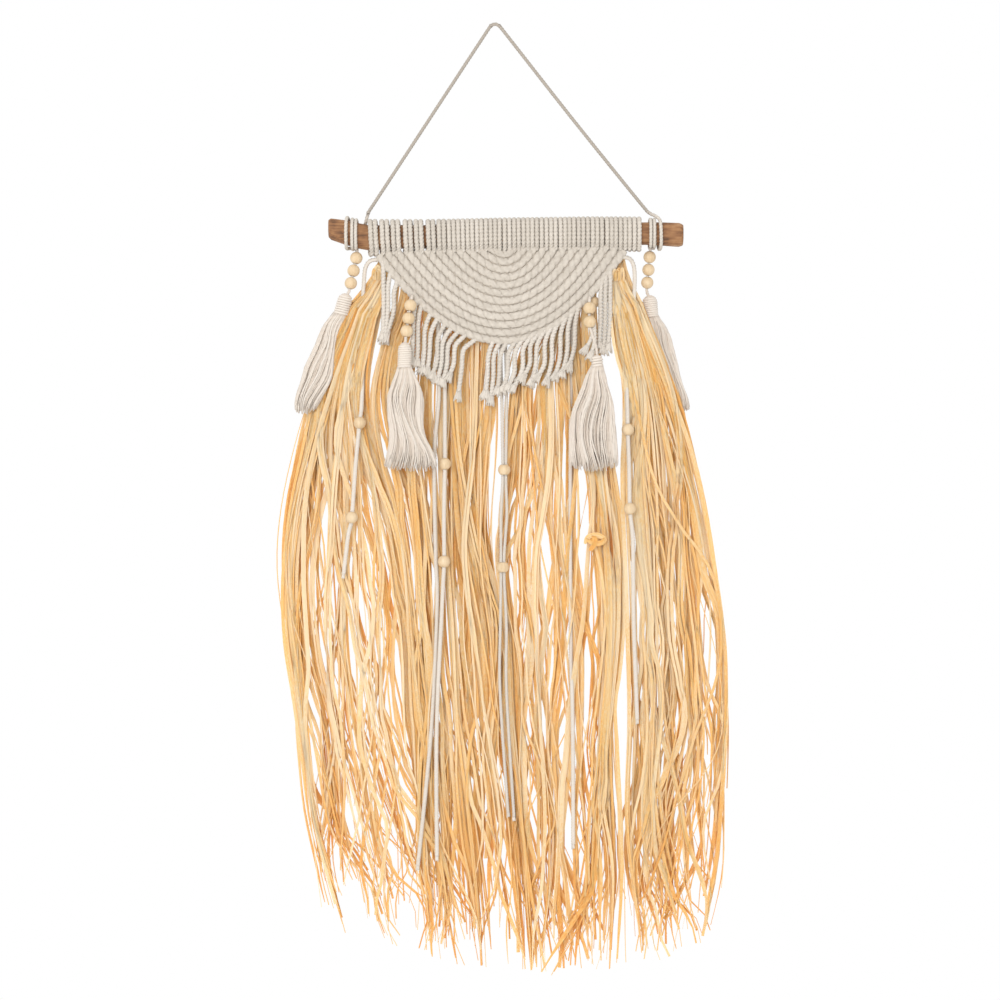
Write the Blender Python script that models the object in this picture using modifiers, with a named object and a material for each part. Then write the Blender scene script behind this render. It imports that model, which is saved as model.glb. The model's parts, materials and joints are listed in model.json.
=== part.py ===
"""Macrame wall hanging: a half-round knotted panel, tassels, beads and long raffia on a wooden stick.

X runs along the stick, Z is up, and the front faces -Y. The origin is the underside of the hanging cord
at its peak, where a nail holds it. Sizes are in millimetres, and turned into metres as points are made.
"""
import math
import random

import bmesh
import bpy
from mathutils import Vector

MM = 0.001
CLEARANCE = 0.4

# The stick, from its left end to its right: a section every so often.
STICK = [
    {"x": -149.6, "z": -182.3, "half_height": 8.2, "half_depth": 8.4},
    {"x": -147.5, "z": -182.8, "half_height": 9.9, "half_depth": 9.9},
    {"x": -135.0, "z": -186.0, "half_height": 11.3, "half_depth": 11.0},
    {"x": -124.0, "z": -188.6, "half_height": 11.8, "half_depth": 11.2},
    {"x": -113.0, "z": -190.3, "half_height": 12.0, "half_depth": 11.2},
    {"x": -60.0, "z": -189.5, "half_height": 11.1, "half_depth": 11.0},
    {"x": 9.0, "z": -187.6, "half_height": 10.8, "half_depth": 10.8},
    {"x": 87.0, "z": -186.6, "half_height": 10.8, "half_depth": 10.8},
    {"x": 135.0, "z": -187.0, "half_height": 11.0, "half_depth": 10.8},
    {"x": 166.0, "z": -187.9, "half_height": 11.1, "half_depth": 10.8},
    {"x": 169.0, "z": -188.2, "half_height": 9.6, "half_depth": 9.6},
]
STICK_SIDES = 8
STICK_SQUARENESS = 0.75

# Cotton strands, and the double loops of them over the stick.
STRAND = 4.2
LOOSE_LOOPS_X = [-109.4, -99.0, -89.1, -78.0, -68.6, -57.8, -48.0]
TIGHT_LOOPS_FROM = -39.3
TIGHT_LOOP_PITCH = 8.33
TIGHT_LOOPS = 21
LOOP_HALF_WIDTH = 4.0

# The half-round panel of nested bars.
BARS = 12
PANEL_CENTRE_X = 5.4
PANEL_SKEW = 3.6
INNER_HALF_WIDTH = 7.2
BAR_STEP_ACROSS = 9.15
INNER_DEPTH = 2.6
BAR_STEP_DOWN = 7.08
PANEL_TOP_BELOW_STICK = 1.2
PANEL_Y = -5.2
CREST = 4.2
VALLEY = 2.2
ARC_STEPS = 12
EDGE_BAR_FROM = 11.07
EDGE_BAR_REACH = 0.978

# The cord under the stick that joins all the loops.
HEADER_X = (-112.5, 130.0)
HEADER_STEP = 22.0
HEADER_DROP = (0.8, 4.4)

# Short ends of the edge bar: where each leaves the bar, and where it ends.
FRINGE_Y = -6.4
FRINGE_WIDTH = 3.6
FRINGE_ROOT_SHARE = 0.8
FRINGE_FLARE = 1.25
FRINGE_KNEE_DROP = 12.0
FRINGE_KNEE_SHARE = 0.45
FRINGE = [
    {"root_x": -100.8, "bend_x": -99.9, "bend_z": -255.0, "end_x": -102.0, "end_z": -286.0},
    {"root_x": -93.0, "bend_x": -95.6, "bend_z": -258.0, "end_x": -97.0, "end_z": -287.5},
    {"root_x": -86.6, "bend_x": -89.6, "bend_z": -262.0, "end_x": -92.0, "end_z": -286.0},
    {"root_x": -73.0, "bend_x": -73.4, "bend_z": -282.0, "end_x": -74.4, "end_z": -308.0},
    {"root_x": -68.4, "bend_x": -69.2, "bend_z": -284.0, "end_x": -69.9, "end_z": -309.5},
    {"root_x": -59.6, "bend_x": -63.4, "bend_z": -290.0, "end_x": -65.0, "end_z": -315.0},
    {"root_x": -53.4, "bend_x": -58.2, "bend_z": -292.0, "end_x": -60.4, "end_z": -317.0},
    {"root_x": -46.2, "bend_x": -52.0, "bend_z": -297.0, "end_x": -55.8, "end_z": -321.0},
    {"root_x": -40.6, "bend_x": -47.6, "bend_z": -300.0, "end_x": -51.0, "end_z": -325.0},
    {"root_x": -34.2, "bend_x": -42.8, "bend_z": -301.0, "end_x": -46.2, "end_z": -326.0},
    {"root_x": -28.0, "bend_x": -36.6, "bend_z": -300.0, "end_x": -40.6, "end_z": -322.0},
    {"root_x": -17.6, "bend_x": -29.6, "bend_z": -304.0, "end_x": -32.6, "end_z": -337.5},
    {"root_x": -3.8, "bend_x": -6.4, "bend_z": -312.0, "end_x": -8.2, "end_z": -337.0},
    {"root_x": 2.6, "bend_x": -1.6, "bend_z": -312.0, "end_x": -3.4, "end_z": -341.0},
    {"root_x": 9.0, "bend_x": 4.4, "bend_z": -310.0, "end_x": 2.6, "end_z": -334.0},
    {"root_x": 17.4, "bend_x": 11.2, "bend_z": -310.0, "end_x": 7.6, "end_z": -333.0},
    {"root_x": 23.4, "bend_x": 17.2, "bend_z": -308.0, "end_x": 12.6, "end_z": -331.5},
    {"root_x": 30.0, "bend_x": 24.4, "bend_z": -305.0, "end_x": 17.8, "end_z": -332.0},
    {"root_x": 36.0, "bend_x": 31.0, "bend_z": -300.0, "end_x": 26.2, "end_z": -322.5},
    {"root_x": 43.2, "bend_x": 37.0, "bend_z": -302.0, "end_x": 33.6, "end_z": -325.5},
    {"root_x": 49.8, "bend_x": 44.2, "bend_z": -300.0, "end_x": 39.4, "end_z": -322.0},
    {"root_x": 56.6, "bend_x": 50.6, "bend_z": -298.0, "end_x": 47.2, "end_z": -325.0},
    {"root_x": 62.6, "bend_x": 58.4, "bend_z": -294.0, "end_x": 54.6, "end_z": -321.0},
    {"root_x": 68.2, "bend_x": 65.0, "bend_z": -290.0, "end_x": 60.8, "end_z": -319.0},
    {"root_x": 74.0, "bend_x": 71.6, "bend_z": -286.0, "end_x": 67.2, "end_z": -312.0},
    {"root_x": 96.2, "bend_x": 94.4, "bend_z": -256.0, "end_x": 92.2, "end_z": -283.0},
    {"root_x": 100.0, "bend_x": 98.9, "bend_z": -254.0, "end_x": 97.3, "end_z": -285.0},
    {"root_x": 103.4, "bend_x": 103.3, "bend_z": -252.0, "end_x": 102.4, "end_z": -287.0},
]

# Long cords that run on from the edge bar: their routes, top to bottom, and which points carry a bead.
LONG_CORD_WIDTH = 3.0
PAIRED_CORD_WIDTH = 2.5
LONG_CORDS = {
    "left": {
        "width": LONG_CORD_WIDTH, "beads": (8, 10),
        "route": [
            (-102.5, -5.2, -211.0), (-111.6, -4.2, -211.6), (-116.4, -3.2, -218.0), (-117.8, -2.5, -230.0),
            (-118.8, -2.5, -250.0), (-119.0, -2.5, -290.0), (-119.2, -3.4, -325.0), (-119.9, -5.6, -345.0),
            (-121.4, -6.2, -357.4), (-125.0, -6.4, -395.0), (-128.6, -6.2, -442.3), (-131.7, -5.8, -458.3),
            (-135.9, -5.2, -493.0),
        ],
    },
    "mid_left": {
        "width": LONG_CORD_WIDTH, "beads": (4, 6),
        "route": [
            (-45.0, -5.0, -267.0), (-45.2, -2.5, -276.0), (-45.0, -2.4, -330.0), (-45.0, -5.8, -372.0),
            (-45.0, -6.2, -394.2), (-45.8, -6.4, -440.0), (-45.7, -6.2, -481.8), (-47.6, -5.2, -523.8),
            (-52.4, -4.6, -632.7), (-52.2, -3.6, -746.6),
        ],
    },
    "mid_left_bare": {
        "width": LONG_CORD_WIDTH, "beads": (),
        "route": [
            (-50.5, -5.0, -262.5), (-51.2, -2.5, -273.0), (-50.4, -2.4, -327.6), (-51.8, -2.3, -351.0),
            (-54.3, -2.3, -381.6), (-54.3, -2.3, -430.0), (-53.1, -2.2, -481.0), (-52.0, -2.1, -523.8),
            (-57.2, -2.0, -632.7), (-69.3, -2.0, -755.1),
        ],
    },
    "middle_a": {
        "width": PAIRED_CORD_WIDTH, "beads": (),
        "route": [
            (5.4, -5.0, -282.0), (5.2, -2.5, -291.0), (6.2, -2.4, -336.0), (6.6, -5.8, -372.0),
            (6.9, -6.2, -388.0), (6.9, -6.2, -411.0), (5.4, -6.2, -440.0), (5.4, -6.2, -475.0),
            (5.4, -6.2, -499.0), (4.8, -5.6, -540.0), (4.6, -5.0, -600.0), (11.7, -3.2, -707.4),
        ],
    },
    "middle_b": {
        "width": PAIRED_CORD_WIDTH, "beads": (),
        "route": [
            (10.4, -5.0, -282.0), (9.6, -2.5, -291.0), (10.4, -2.4, -336.0), (10.1, -5.8, -372.0),
            (9.8, -6.2, -388.0), (9.8, -6.2, -411.0), (10.6, -6.2, -440.0), (8.3, -6.2, -475.0),
            (8.3, -6.2, -499.0), (10.2, -5.6, -540.0), (10.4, -5.0, -600.0), (17.1, -3.2, -711.0),
        ],
    },
    "right": {
        "width": LONG_CORD_WIDTH, "beads": (8, 10),
        "route": [
            (111.8, -5.2, -208.5), (120.4, -4.4, -209.6), (124.6, -3.2, -216.0), (125.6, -2.5, -228.0),
            (124.6, -2.5, -250.0), (120.8, -2.5, -284.0), (118.6, -3.4, -320.0), (118.9, -5.6, -346.0),
            (119.2, -6.2, -363.4), (120.4, -6.4, -400.0), (121.2, -6.2, -434.4), (123.8, -5.8, -466.2),
            (124.6, -5.2, -537.3), (127.8, -4.0, -623.7),
        ],
    },
}

# Raffia bunches. Each row of the level table gives the left and right edge of every bunch at one height.
RAFFIA_LAYERS = 5
RAFFIA_ROOT_Y = 0.0
RAFFIA_ROOT_PITCH = 1.5
RAFFIA_LOW_Y = 1.2
RAFFIA_LOW_PITCH = 2.7
RAFFIA_SPREAD_FROM = -350.0
RAFFIA_SPREAD_OVER = 150.0
RAFFIA_THICKNESS = 0.9
RAFFIA_WIDTH = 4.6
RAFFIA_TIP_SHARE = 0.45
RAFFIA_WIDTH_SHARES = (0.75, 1.2)
RAFFIA_ROOT_HALF = 0.7
RAFFIA_EXIT_HALF = 0.8
RAFFIA_ROOM = 0.28
RAFFIA_STEPS = 6
RAFFIA_STRIP_FROM = 11.05
RAFFIA_STRIP_MARGIN = 0.08
RAFFIA_EARLY_ENDS = 0.12
RAFFIA_EARLY_BY = (40.0, 150.0)
RAFFIA_SETTLE_OVER = 60.0
RAFFIA_SWAY = {"share": 0.15, "length": 55.0}
RAFFIA_DRIFT = {"share": 0.05, "length": 90.0, "layer": 1.7, "across": 2.0}
BUNCHES = [
    {"name": "raffia_left", "arc": (-0.965, -0.862), "per_layer": 6, "short_z": -738.0, "long_z": -808.0},
    {"name": "raffia_mid_left", "arc": (-0.80, -0.49), "per_layer": 3, "short_z": -790.0, "long_z": -832.0},
    {"name": "raffia_middle", "arc": (-0.42, -0.05), "per_layer": 3, "short_z": -810.0, "long_z": -841.0},
    {"name": "raffia_mid_right", "arc": (0.09, 0.61), "per_layer": 5, "short_z": -808.0, "long_z": -841.0},
    {"name": "raffia_right", "arc": (0.852, 0.965), "per_layer": 6, "short_z": -775.0, "long_z": -830.0},
]
EDGES = [
    # z, then left and right of: left bunch, mid left, middle, mid right, right bunch
    (-224.0, (-115.2, -99.9), (-92.7, -52.2), (-43.2, 0.0), (15.3, 76.0), (104.4, 119.7)),
    (-265.0, (-134.0, -103.5), (-92.7, -51.3), (-43.2, 0.0), (15.3, 79.0), (104.6, 135.0)),
    (-300.0, (-155.0, -116.0), (-108.0, -51.3), (-43.8, 0.0), (14.4, 87.0), (113.5, 155.0)),
    (-311.0, (-160.0, -121.4), (-113.8, -51.6), (-45.0, 0.9), (12.6, 92.0), (121.8, 163.5)),
    (-337.0, (-165.0, -125.5), (-115.8, -52.2), (-47.7, 1.8), (9.9, 96.3), (122.8, 172.3)),
    (-400.0, (-180.5, -101.0), (-98.5, -50.8), (-47.7, -2.7), (6.3, 106.5), (115.2, 181.5)),
    (-472.0, (-191.0, -82.6), (-78.2, -46.2), (-43.2, -9.6), (-0.9, 110.7), (119.7, 194.0)),
    (-553.0, (-190.4, -78.6), (-74.8, -39.8), (-36.9, 10.4), (14.8, 109.8), (122.4, 213.8)),
    (-634.0, (-181.0, -75.6), (-72.0, -38.2), (-32.4, 12.6), (16.2, 98.1), (125.1, 214.6)),
    (-715.0, (-182.0, -69.6), (-66.0, -24.6), (-20.7, 22.2), (25.4, 104.4), (118.8, 206.8)),
    (-787.0, (-168.0, -62.4), (-58.6, -19.2), (-13.5, 27.6), (31.2, 105.0), (130.5, 196.0)),
    (-842.0, (-140.0, -57.0), (-53.0, -14.0), (-8.1, 31.4), (36.6, 99.8), (137.0, 176.0)),
]

# Tassels: the double wrap on the stick if there is one, the cord and its beads, the head and the skirt.
TASSEL_CORD_WIDTH = 3.0
TASSEL_WRAP = 3.0
TASSEL_STRANDS_FRONT = 6
TASSEL_STRANDS_BACK = 5
TASSEL_HEAD = [
    {"down": 0.0, "radius": 0.62}, {"down": 0.14, "radius": 0.95}, {"down": 0.5, "radius": 1.0},
    {"down": 0.56, "radius": 0.9}, {"down": 1.0, "radius": 1.0},
]
TASSEL_HEAD_SIDES = 8
SKIRT = {
    "root_spread": 1.5, "root_depth": 0.42, "root_half": 0.6, "root_deep": 1.4, "into_head": 4.0,
    "row_apart": 0.52, "strand_deep": 0.4, "mid_share": 0.36, "low_share": 0.36,
    "mid_most": 2.1, "low_most": 2.4, "uneven": (-2.5, 3.5),
}
TASSELS = [
    {
        "name": "outer_left", "wrap_x": -126.4, "wrap_half": 3.1, "beads": (1, 2, 3),
        "cord": [(-124.2, -2.6, -201.6), (-124.6, -3.2, -209.2), (-127.0, -4.3, -220.6),
                 (-129.4, -5.4, -232.0), (-131.2, -6.0, -239.6)],
        "head_top": (-133.0, -6.2, -241.5), "head_end": (-138.8, -6.2, -261.0), "head_radius": 6.2,
        "mid_left": -170.0, "mid_right": -147.0, "mid_z": -308.0,
        "low_left": -178.6, "low_right": -160.8, "low_z": -348.0, "half_depth": 4.4, "y": -6.2,
    },
    {
        "name": "outer_right", "wrap_x": 141.3, "wrap_half": 2.9, "beads": (1, 2, 3),
        "cord": [(140.2, 2.6, -200.0), (139.4, 3.4, -207.6), (138.4, 4.8, -219.0),
                 (137.4, 6.2, -230.4), (137.4, 8.2, -239.0)],
        "head_top": (139.6, 10.6, -241.5), "head_end": (141.2, 11.4, -262.0), "head_radius": 6.4,
        "mid_left": 143.0, "mid_right": 167.0, "mid_z": -306.0,
        "low_left": 148.5, "low_right": 174.4, "low_z": -347.0, "half_depth": 4.2, "y": 11.6,
    },
    {
        "name": "inner_left", "wrap_x": None, "wrap_half": 0.0, "beads": (1, 2, 3),
        "cord": [(-74.0, -10.0, -243.6), (-75.6, -14.0, -252.8), (-77.3, -14.3, -264.2),
                 (-79.0, -14.4, -275.6), (-79.9, -14.4, -283.4)],
        "head_top": (-80.4, -14.2, -285.6), "head_end": (-81.0, -14.0, -309.0), "head_radius": 5.8,
        "mid_left": -95.6, "mid_right": -62.8, "mid_z": -355.0,
        "low_left": -98.4, "low_right": -53.2, "low_z": -399.5, "half_depth": 3.8, "y": -12.4,
    },
    {
        "name": "inner_right", "wrap_x": None, "wrap_half": 0.0, "beads": (1, 2),
        "cord": [(84.9, -9.7, -245.0), (84.5, -13.4, -255.2), (84.7, -13.6, -267.2),
                 (86.2, -13.2, -276.0), (90.4, -12.6, -290.0)],
        "head_top": (91.4, -12.4, -293.0), "head_end": (91.8, -12.2, -306.0), "head_radius": 5.6,
        "mid_left": 66.6, "mid_right": 106.0, "mid_z": -348.0,
        "low_left": 66.6, "low_right": 112.2, "low_z": -399.5, "half_depth": 3.8, "y": -12.4,
    },
]

# Wooden beads. The two on the middle pair of cords are bored wider, for both cords.
BEAD_RADIUS = 5.6
BEAD_BORE = 2.15
WIDE_BEAD_BORE = 3.3
BEAD_SIDES = 8
BEAD_REACH = 5.9
PAIR_BEADS = [(8.35, -6.2, -399.5), (6.85, -6.2, -487.0)]

# The hanging cord. It goes round the stick at both ends, at these corners of the stick's section.
HANGER_WIDTH = 3.4
HANGER_SPACING = 20.0
HANGER_LEFT = [
    {"x": -131.9, "corner": 0, "grow": 2.4}, {"x": -132.3, "corner": 1, "grow": 2.4},
    {"x": -132.8, "corner": 2, "grow": 2.4}, {"x": -133.3, "corner": 3, "grow": 2.4},
    {"x": -133.4, "corner": 4, "grow": 2.4}, {"x": -133.4, "corner": 5, "grow": 2.4},
    {"x": -133.0, "corner": 6, "grow": 2.6}, {"x": -128.6, "corner": 7, "grow": 6.4},
    {"x": -119.5, "corner": 0, "grow": 3.2}, {"x": -116.8, "corner": 1, "grow": 2.5},
]
HANGER_LEGS = [
    (-114.0, 5.4, -167.0), (-110.0, 4.0, -160.8), (-60.0, 1.6, -85.0), (-5.7, 0.1, -1.4),
    (-3.2, 0.0, 0.9), (0.0, 0.0, 1.7), (3.2, 0.0, 0.9), (5.5, 0.1, -1.1), (70.0, 0.0, -84.0),
    (130.0, -1.0, -158.6), (139.0, -2.6, -168.6), (143.4, -3.8, -171.0),
]
HANGER_RIGHT = [
    {"x": 147.4, "corner": 2, "grow": 2.5}, {"x": 148.4, "corner": 3, "grow": 2.4},
    {"x": 148.8, "corner": 4, "grow": 2.4}, {"x": 148.6, "corner": 5, "grow": 2.4},
    {"x": 148.0, "corner": 6, "grow": 2.4}, {"x": 147.4, "corner": 7, "grow": 2.4},
    {"x": 147.0, "corner": 0, "grow": 2.4},
]


def point(x, y, z):
    return Vector((x * MM, y * MM, z * MM))


def between(rows, key, x, column):
    """The value of a column where the key column has the value x, on straight lines between the rows."""
    if x <= rows[0][key]:
        return rows[0][column]
    for low, high in zip(rows, rows[1:]):
        if x <= high[key]:
            share = (x - low[key]) / (high[key] - low[key])
            return low[column] + share * (high[column] - low[column])
    return rows[-1][column]


def smooth_step(t):
    t = min(max(t, 0.0), 1.0)
    return t * t * (3.0 - 2.0 * t)


def catmull_rom(route, t):
    """The point of a smooth curve through the route's points, t counting the points from 0."""
    i = min(int(t), len(route) - 2)
    a, b, c, d = (Vector(route[min(max(i + k, 0), len(route) - 1)]) for k in (-1, 0, 1, 2))
    u = t - i
    return 0.5 * (
        2.0 * b + (c - a) * u + (2.0 * a - 5.0 * b + 4.0 * c - d) * u * u
        + (3.0 * b - a - 3.0 * c + d) * u * u * u
    )


def along_route(route, spacing):
    """Points of the smooth curve through a route: the route's own, and more where those lie far apart."""
    points = []
    for i in range(len(route) - 1):
        parts = max(1, round((Vector(route[i + 1]) - Vector(route[i])).length / spacing))
        points += [catmull_rom(route, i + k / parts) for k in range(parts)]
    points.append(Vector(route[-1]))
    return points


def material(name, colour, roughness):
    made = bpy.data.materials.new(name)
    made.use_nodes = True
    shader = made.node_tree.nodes["Principled BSDF"]
    shader.inputs["Base Color"].default_value = (*colour, 1.0)
    shader.inputs["Roughness"].default_value = roughness
    shader.inputs["Metallic"].default_value = 0.0
    return made


def add_mesh_object(name, build, look, collection):
    """An object whose mesh is filled by a function that takes a bmesh."""
    mesh = bpy.data.meshes.new(name)
    bm = bmesh.new()
    build(bm)
    bmesh.ops.recalc_face_normals(bm, faces=bm.faces)
    bm.to_mesh(mesh)
    bm.free()
    made = bpy.data.objects.new(name, mesh)
    mesh.materials.append(look)
    mesh.shade_smooth()
    mesh.set_sharp_from_angle(angle=math.radians(40))
    collection.objects.link(made)
    return made


def add_guide(name, build, look, guides):
    guide = add_mesh_object(name, build, look, guides)
    guide.hide_render = True
    guide.display_type = "WIRE"
    return guide


def fuse(target, guide):
    union = target.modifiers.new("Fuse " + guide.name, "BOOLEAN")
    union.operation = "UNION"
    union.solver = "EXACT"
    union.use_self = True
    union.object = guide


FLAT_IN_FRONT = ((-1, -1), (1, -1), (0, 1))
RIDGE_IN_FRONT = ((-1, 1), (0, -1), (1, 1))


def loft(bm, rings, closed=False):
    """A closed body through rings of equal point counts, capped at both ends or joined end to end."""
    rows = [[bm.verts.new(p) for p in ring] for ring in rings]
    pairs = list(zip(rows, rows[1:]))
    if closed:
        pairs.append((rows[-1], rows[0]))
    for low, high in pairs:
        for i in range(len(low)):
            j = (i + 1) % len(low)
            bm.faces.new((low[i], low[j], high[j], high[i]))
    if not closed:
        bm.faces.new(rows[0])
        bm.faces.new(rows[-1][::-1])


def ribbon(bm, path, corners):
    """A strand along rows of x, y, z, half width and half thickness, its width in the XZ plane.

    The corners are given as shares of the half width and of the half thickness.
    """
    rings = []
    for i, (x, y, z, half_width, half_thickness) in enumerate(path):
        before = path[max(i - 1, 0)]
        after = path[min(i + 1, len(path) - 1)]
        along = Vector((after[0] - before[0], after[2] - before[2])).normalized()
        across = (-along[1], along[0])
        rings.append([
            point(x + u * half_width * across[0], y + v * half_thickness, z + u * half_width * across[1])
            for u, v in corners
        ])
    loft(bm, rings)


def tube_rings(points, radius, sides):
    """Round sections across a line of points in millimetres, kept from turning about the line."""
    rings = []
    side = None
    for i, centre in enumerate(points):
        along = (points[min(i + 1, len(points) - 1)] - points[max(i - 1, 0)]).normalized()
        if side is None:
            side = along.orthogonal().normalized()
        side = (side - along * side.dot(along)).normalized()
        other = along.cross(side)
        ring = []
        for k in range(sides):
            angle = 2.0 * math.pi * k / sides
            place = centre + (side * math.cos(angle) + other * math.sin(angle)) * radius
            ring.append(place * MM)
        rings.append(ring)
    return rings


def stick_section(x, grow):
    """The stick's rounded-square section at x, grown by so much, as Y and Z in millimetres."""
    centre = between(STICK, "x", x, "z")
    tall = between(STICK, "x", x, "half_height") + grow
    deep = between(STICK, "x", x, "half_depth") + grow
    section = []
    for k in range(STICK_SIDES):
        angle = 2.0 * math.pi * (k + 0.5) / STICK_SIDES
        c, s = math.cos(angle), math.sin(angle)
        y = deep * math.copysign(abs(c) ** STICK_SQUARENESS, c)
        z = tall * math.copysign(abs(s) ** STICK_SQUARENESS, s)
        section.append((y, centre + z))
    return section


def build_stick(bm):
    loft(bm, [[point(row["x"], y, z) for y, z in stick_section(row["x"], 0.0)] for row in STICK])


def build_wrap(bm, x, half_width, thickness):
    """Two strands side by side, once round the stick."""
    profile = (
        (-half_width, CLEARANCE), (-0.52 * half_width, thickness), (0.0, 0.6 * thickness),
        (0.52 * half_width, thickness), (half_width, CLEARANCE),
    )
    sections = [stick_section(x + across, grow) for across, grow in profile]
    rings = []
    for k in range(STICK_SIDES):
        rings.append([
            point(x + across, *section[k]) for (across, _), section in zip(profile, sections)
        ])
    loft(bm, rings, closed=True)


def loop_places():
    return LOOSE_LOOPS_X + [TIGHT_LOOPS_FROM + TIGHT_LOOP_PITCH * i for i in range(TIGHT_LOOPS)]


def stick_underside(x):
    return between(STICK, "x", x, "z") - between(STICK, "x", x, "half_height")


def build_header(bm):
    rings = []
    steps = round((HEADER_X[1] - HEADER_X[0]) / HEADER_STEP)
    for i in range(steps + 1):
        x = HEADER_X[0] + (HEADER_X[1] - HEADER_X[0]) * i / steps
        high, low = (stick_underside(x) - drop for drop in HEADER_DROP)
        front, back = PANEL_Y - VALLEY, PANEL_Y + VALLEY
        rings.append([point(x, front, high), point(x, front, low), point(x, back, low), point(x, back, high)])
    loft(bm, rings)


def build_loops(bm):
    for x in loop_places():
        build_wrap(bm, x, LOOP_HALF_WIDTH, STRAND)
    build_header(bm)


def panel_top(x):
    return stick_underside(x) - PANEL_TOP_BELOW_STICK


def on_panel(bar, s):
    """X and Z on the panel: bar counts outward from its top centre, s runs from -1 to 1 along a bar."""
    bow = 1.0 - s * s
    x = PANEL_CENTRE_X + (INNER_HALF_WIDTH + BAR_STEP_ACROSS * bar) * s + PANEL_SKEW * bow
    return x, panel_top(x) - (INNER_DEPTH + BAR_STEP_DOWN * bar) * bow


def arc_place(x):
    """Where along the edge bar's middle line it has this x."""
    low, high = -1.0, 1.0
    for _ in range(30):
        middle = 0.5 * (low + high)
        if on_panel(BARS - 0.5, middle)[0] < x:
            low = middle
        else:
            high = middle
    return low


def sweep_section(bm, section, reach_from, reach_to, steps):
    """A closed body with a section of (bar, y) points, swept along the panel's arc."""
    rings = []
    for i in range(steps + 1):
        s = reach_from + (reach_to - reach_from) * i / steps
        ring = []
        for bar, y in section:
            x, z = on_panel(bar, s)
            ring.append(point(x, y, z))
        rings.append(ring)
    loft(bm, rings)


def build_panel(bm):
    """All bars but the last, ridged in front, and behind with a ridge for every second bar."""
    bars = BARS - 1
    front = [(0.5 * j, PANEL_Y - (CREST if j % 2 else VALLEY)) for j in range(2 * bars + 1)]
    back = [(bar, PANEL_Y + (CREST if bar % 2 else VALLEY)) for bar in range(bars - 1, 0, -1)]
    back = [(bars, PANEL_Y + VALLEY)] + back + [(0, PANEL_Y + VALLEY)]
    sweep_section(bm, front + back, -1.0, 1.0, ARC_STEPS)


def build_edge_bar(bm):
    section = [
        (EDGE_BAR_FROM, PANEL_Y - 1.4), (11.5, PANEL_Y - CREST), (12.0, PANEL_Y - 1.6),
        (12.0, PANEL_Y + 1.6), (11.5, PANEL_Y + CREST), (EDGE_BAR_FROM, PANEL_Y + 1.4),
    ]
    sweep_section(bm, section, -EDGE_BAR_REACH, EDGE_BAR_REACH, ARC_STEPS + 4)


def fringe_path(row):
    half = 0.5 * FRINGE_WIDTH
    root_half = FRINGE_ROOT_SHARE * half
    root_x, root_z = on_panel(BARS - 0.5, arc_place(row["root_x"]))
    knee_x = root_x + FRINGE_KNEE_SHARE * (row["bend_x"] - root_x)
    return [
        (root_x, PANEL_Y - 0.4, root_z, root_half, root_half),
        (knee_x, FRINGE_Y, root_z - FRINGE_KNEE_DROP, half, half),
        (row["bend_x"], FRINGE_Y, row["bend_z"], half, half),
        (row["end_x"], FRINGE_Y, row["end_z"], FRINGE_FLARE * half, half),
    ]


def build_fringe(bm):
    for row in FRINGE:
        ribbon(bm, fringe_path(row), RIDGE_IN_FRONT)


def threaded(route, beads):
    """The route's points, straight through each bead, and each bead's place with its bore's direction."""
    places = [Vector(p) for p in route]
    points = []
    seats = []
    for i, place in enumerate(places):
        if i not in beads:
            points.append(place)
            continue
        fall = (places[i + 1] - places[i - 1]).normalized()
        if i - 1 in beads:
            points[-1] = points[-1].lerp(place - fall * BEAD_REACH, 0.5)
        else:
            points.append(place - fall * BEAD_REACH)
        points.append(place + fall * BEAD_REACH)
        seats.append((place, fall))
    return points, seats


def build_long_cords(bm):
    for cord in LONG_CORDS.values():
        points, _ = threaded(cord["route"], cord["beads"])
        loft(bm, tube_rings(points, 0.5 * cord["width"], 5))


def build_strip(bunch):
    """The strip behind the edge bar that a bunch of raffia is tied to."""
    def build(bm):
        front = RAFFIA_ROOT_Y - 0.5 * RAFFIA_THICKNESS - 0.1
        back = RAFFIA_ROOT_Y + (RAFFIA_LAYERS - 1) * RAFFIA_ROOT_PITCH + 0.5 * RAFFIA_THICKNESS + 0.1
        section = [(RAFFIA_STRIP_FROM, front), (BARS, front), (BARS, back), (RAFFIA_STRIP_FROM, back)]
        steps = max(2, round((bunch["arc"][1] - bunch["arc"][0]) * 12))
        sweep_section(bm, section, bunch["arc"][0], bunch["arc"][1], steps)
    return build


def bunch_edges(number, z):
    rows = [{"height": -row[0], "left": row[1 + number][0], "right": row[1 + number][1]} for row in EDGES]
    return between(rows, "height", -z, "left"), between(rows, "height", -z, "right")


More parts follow.
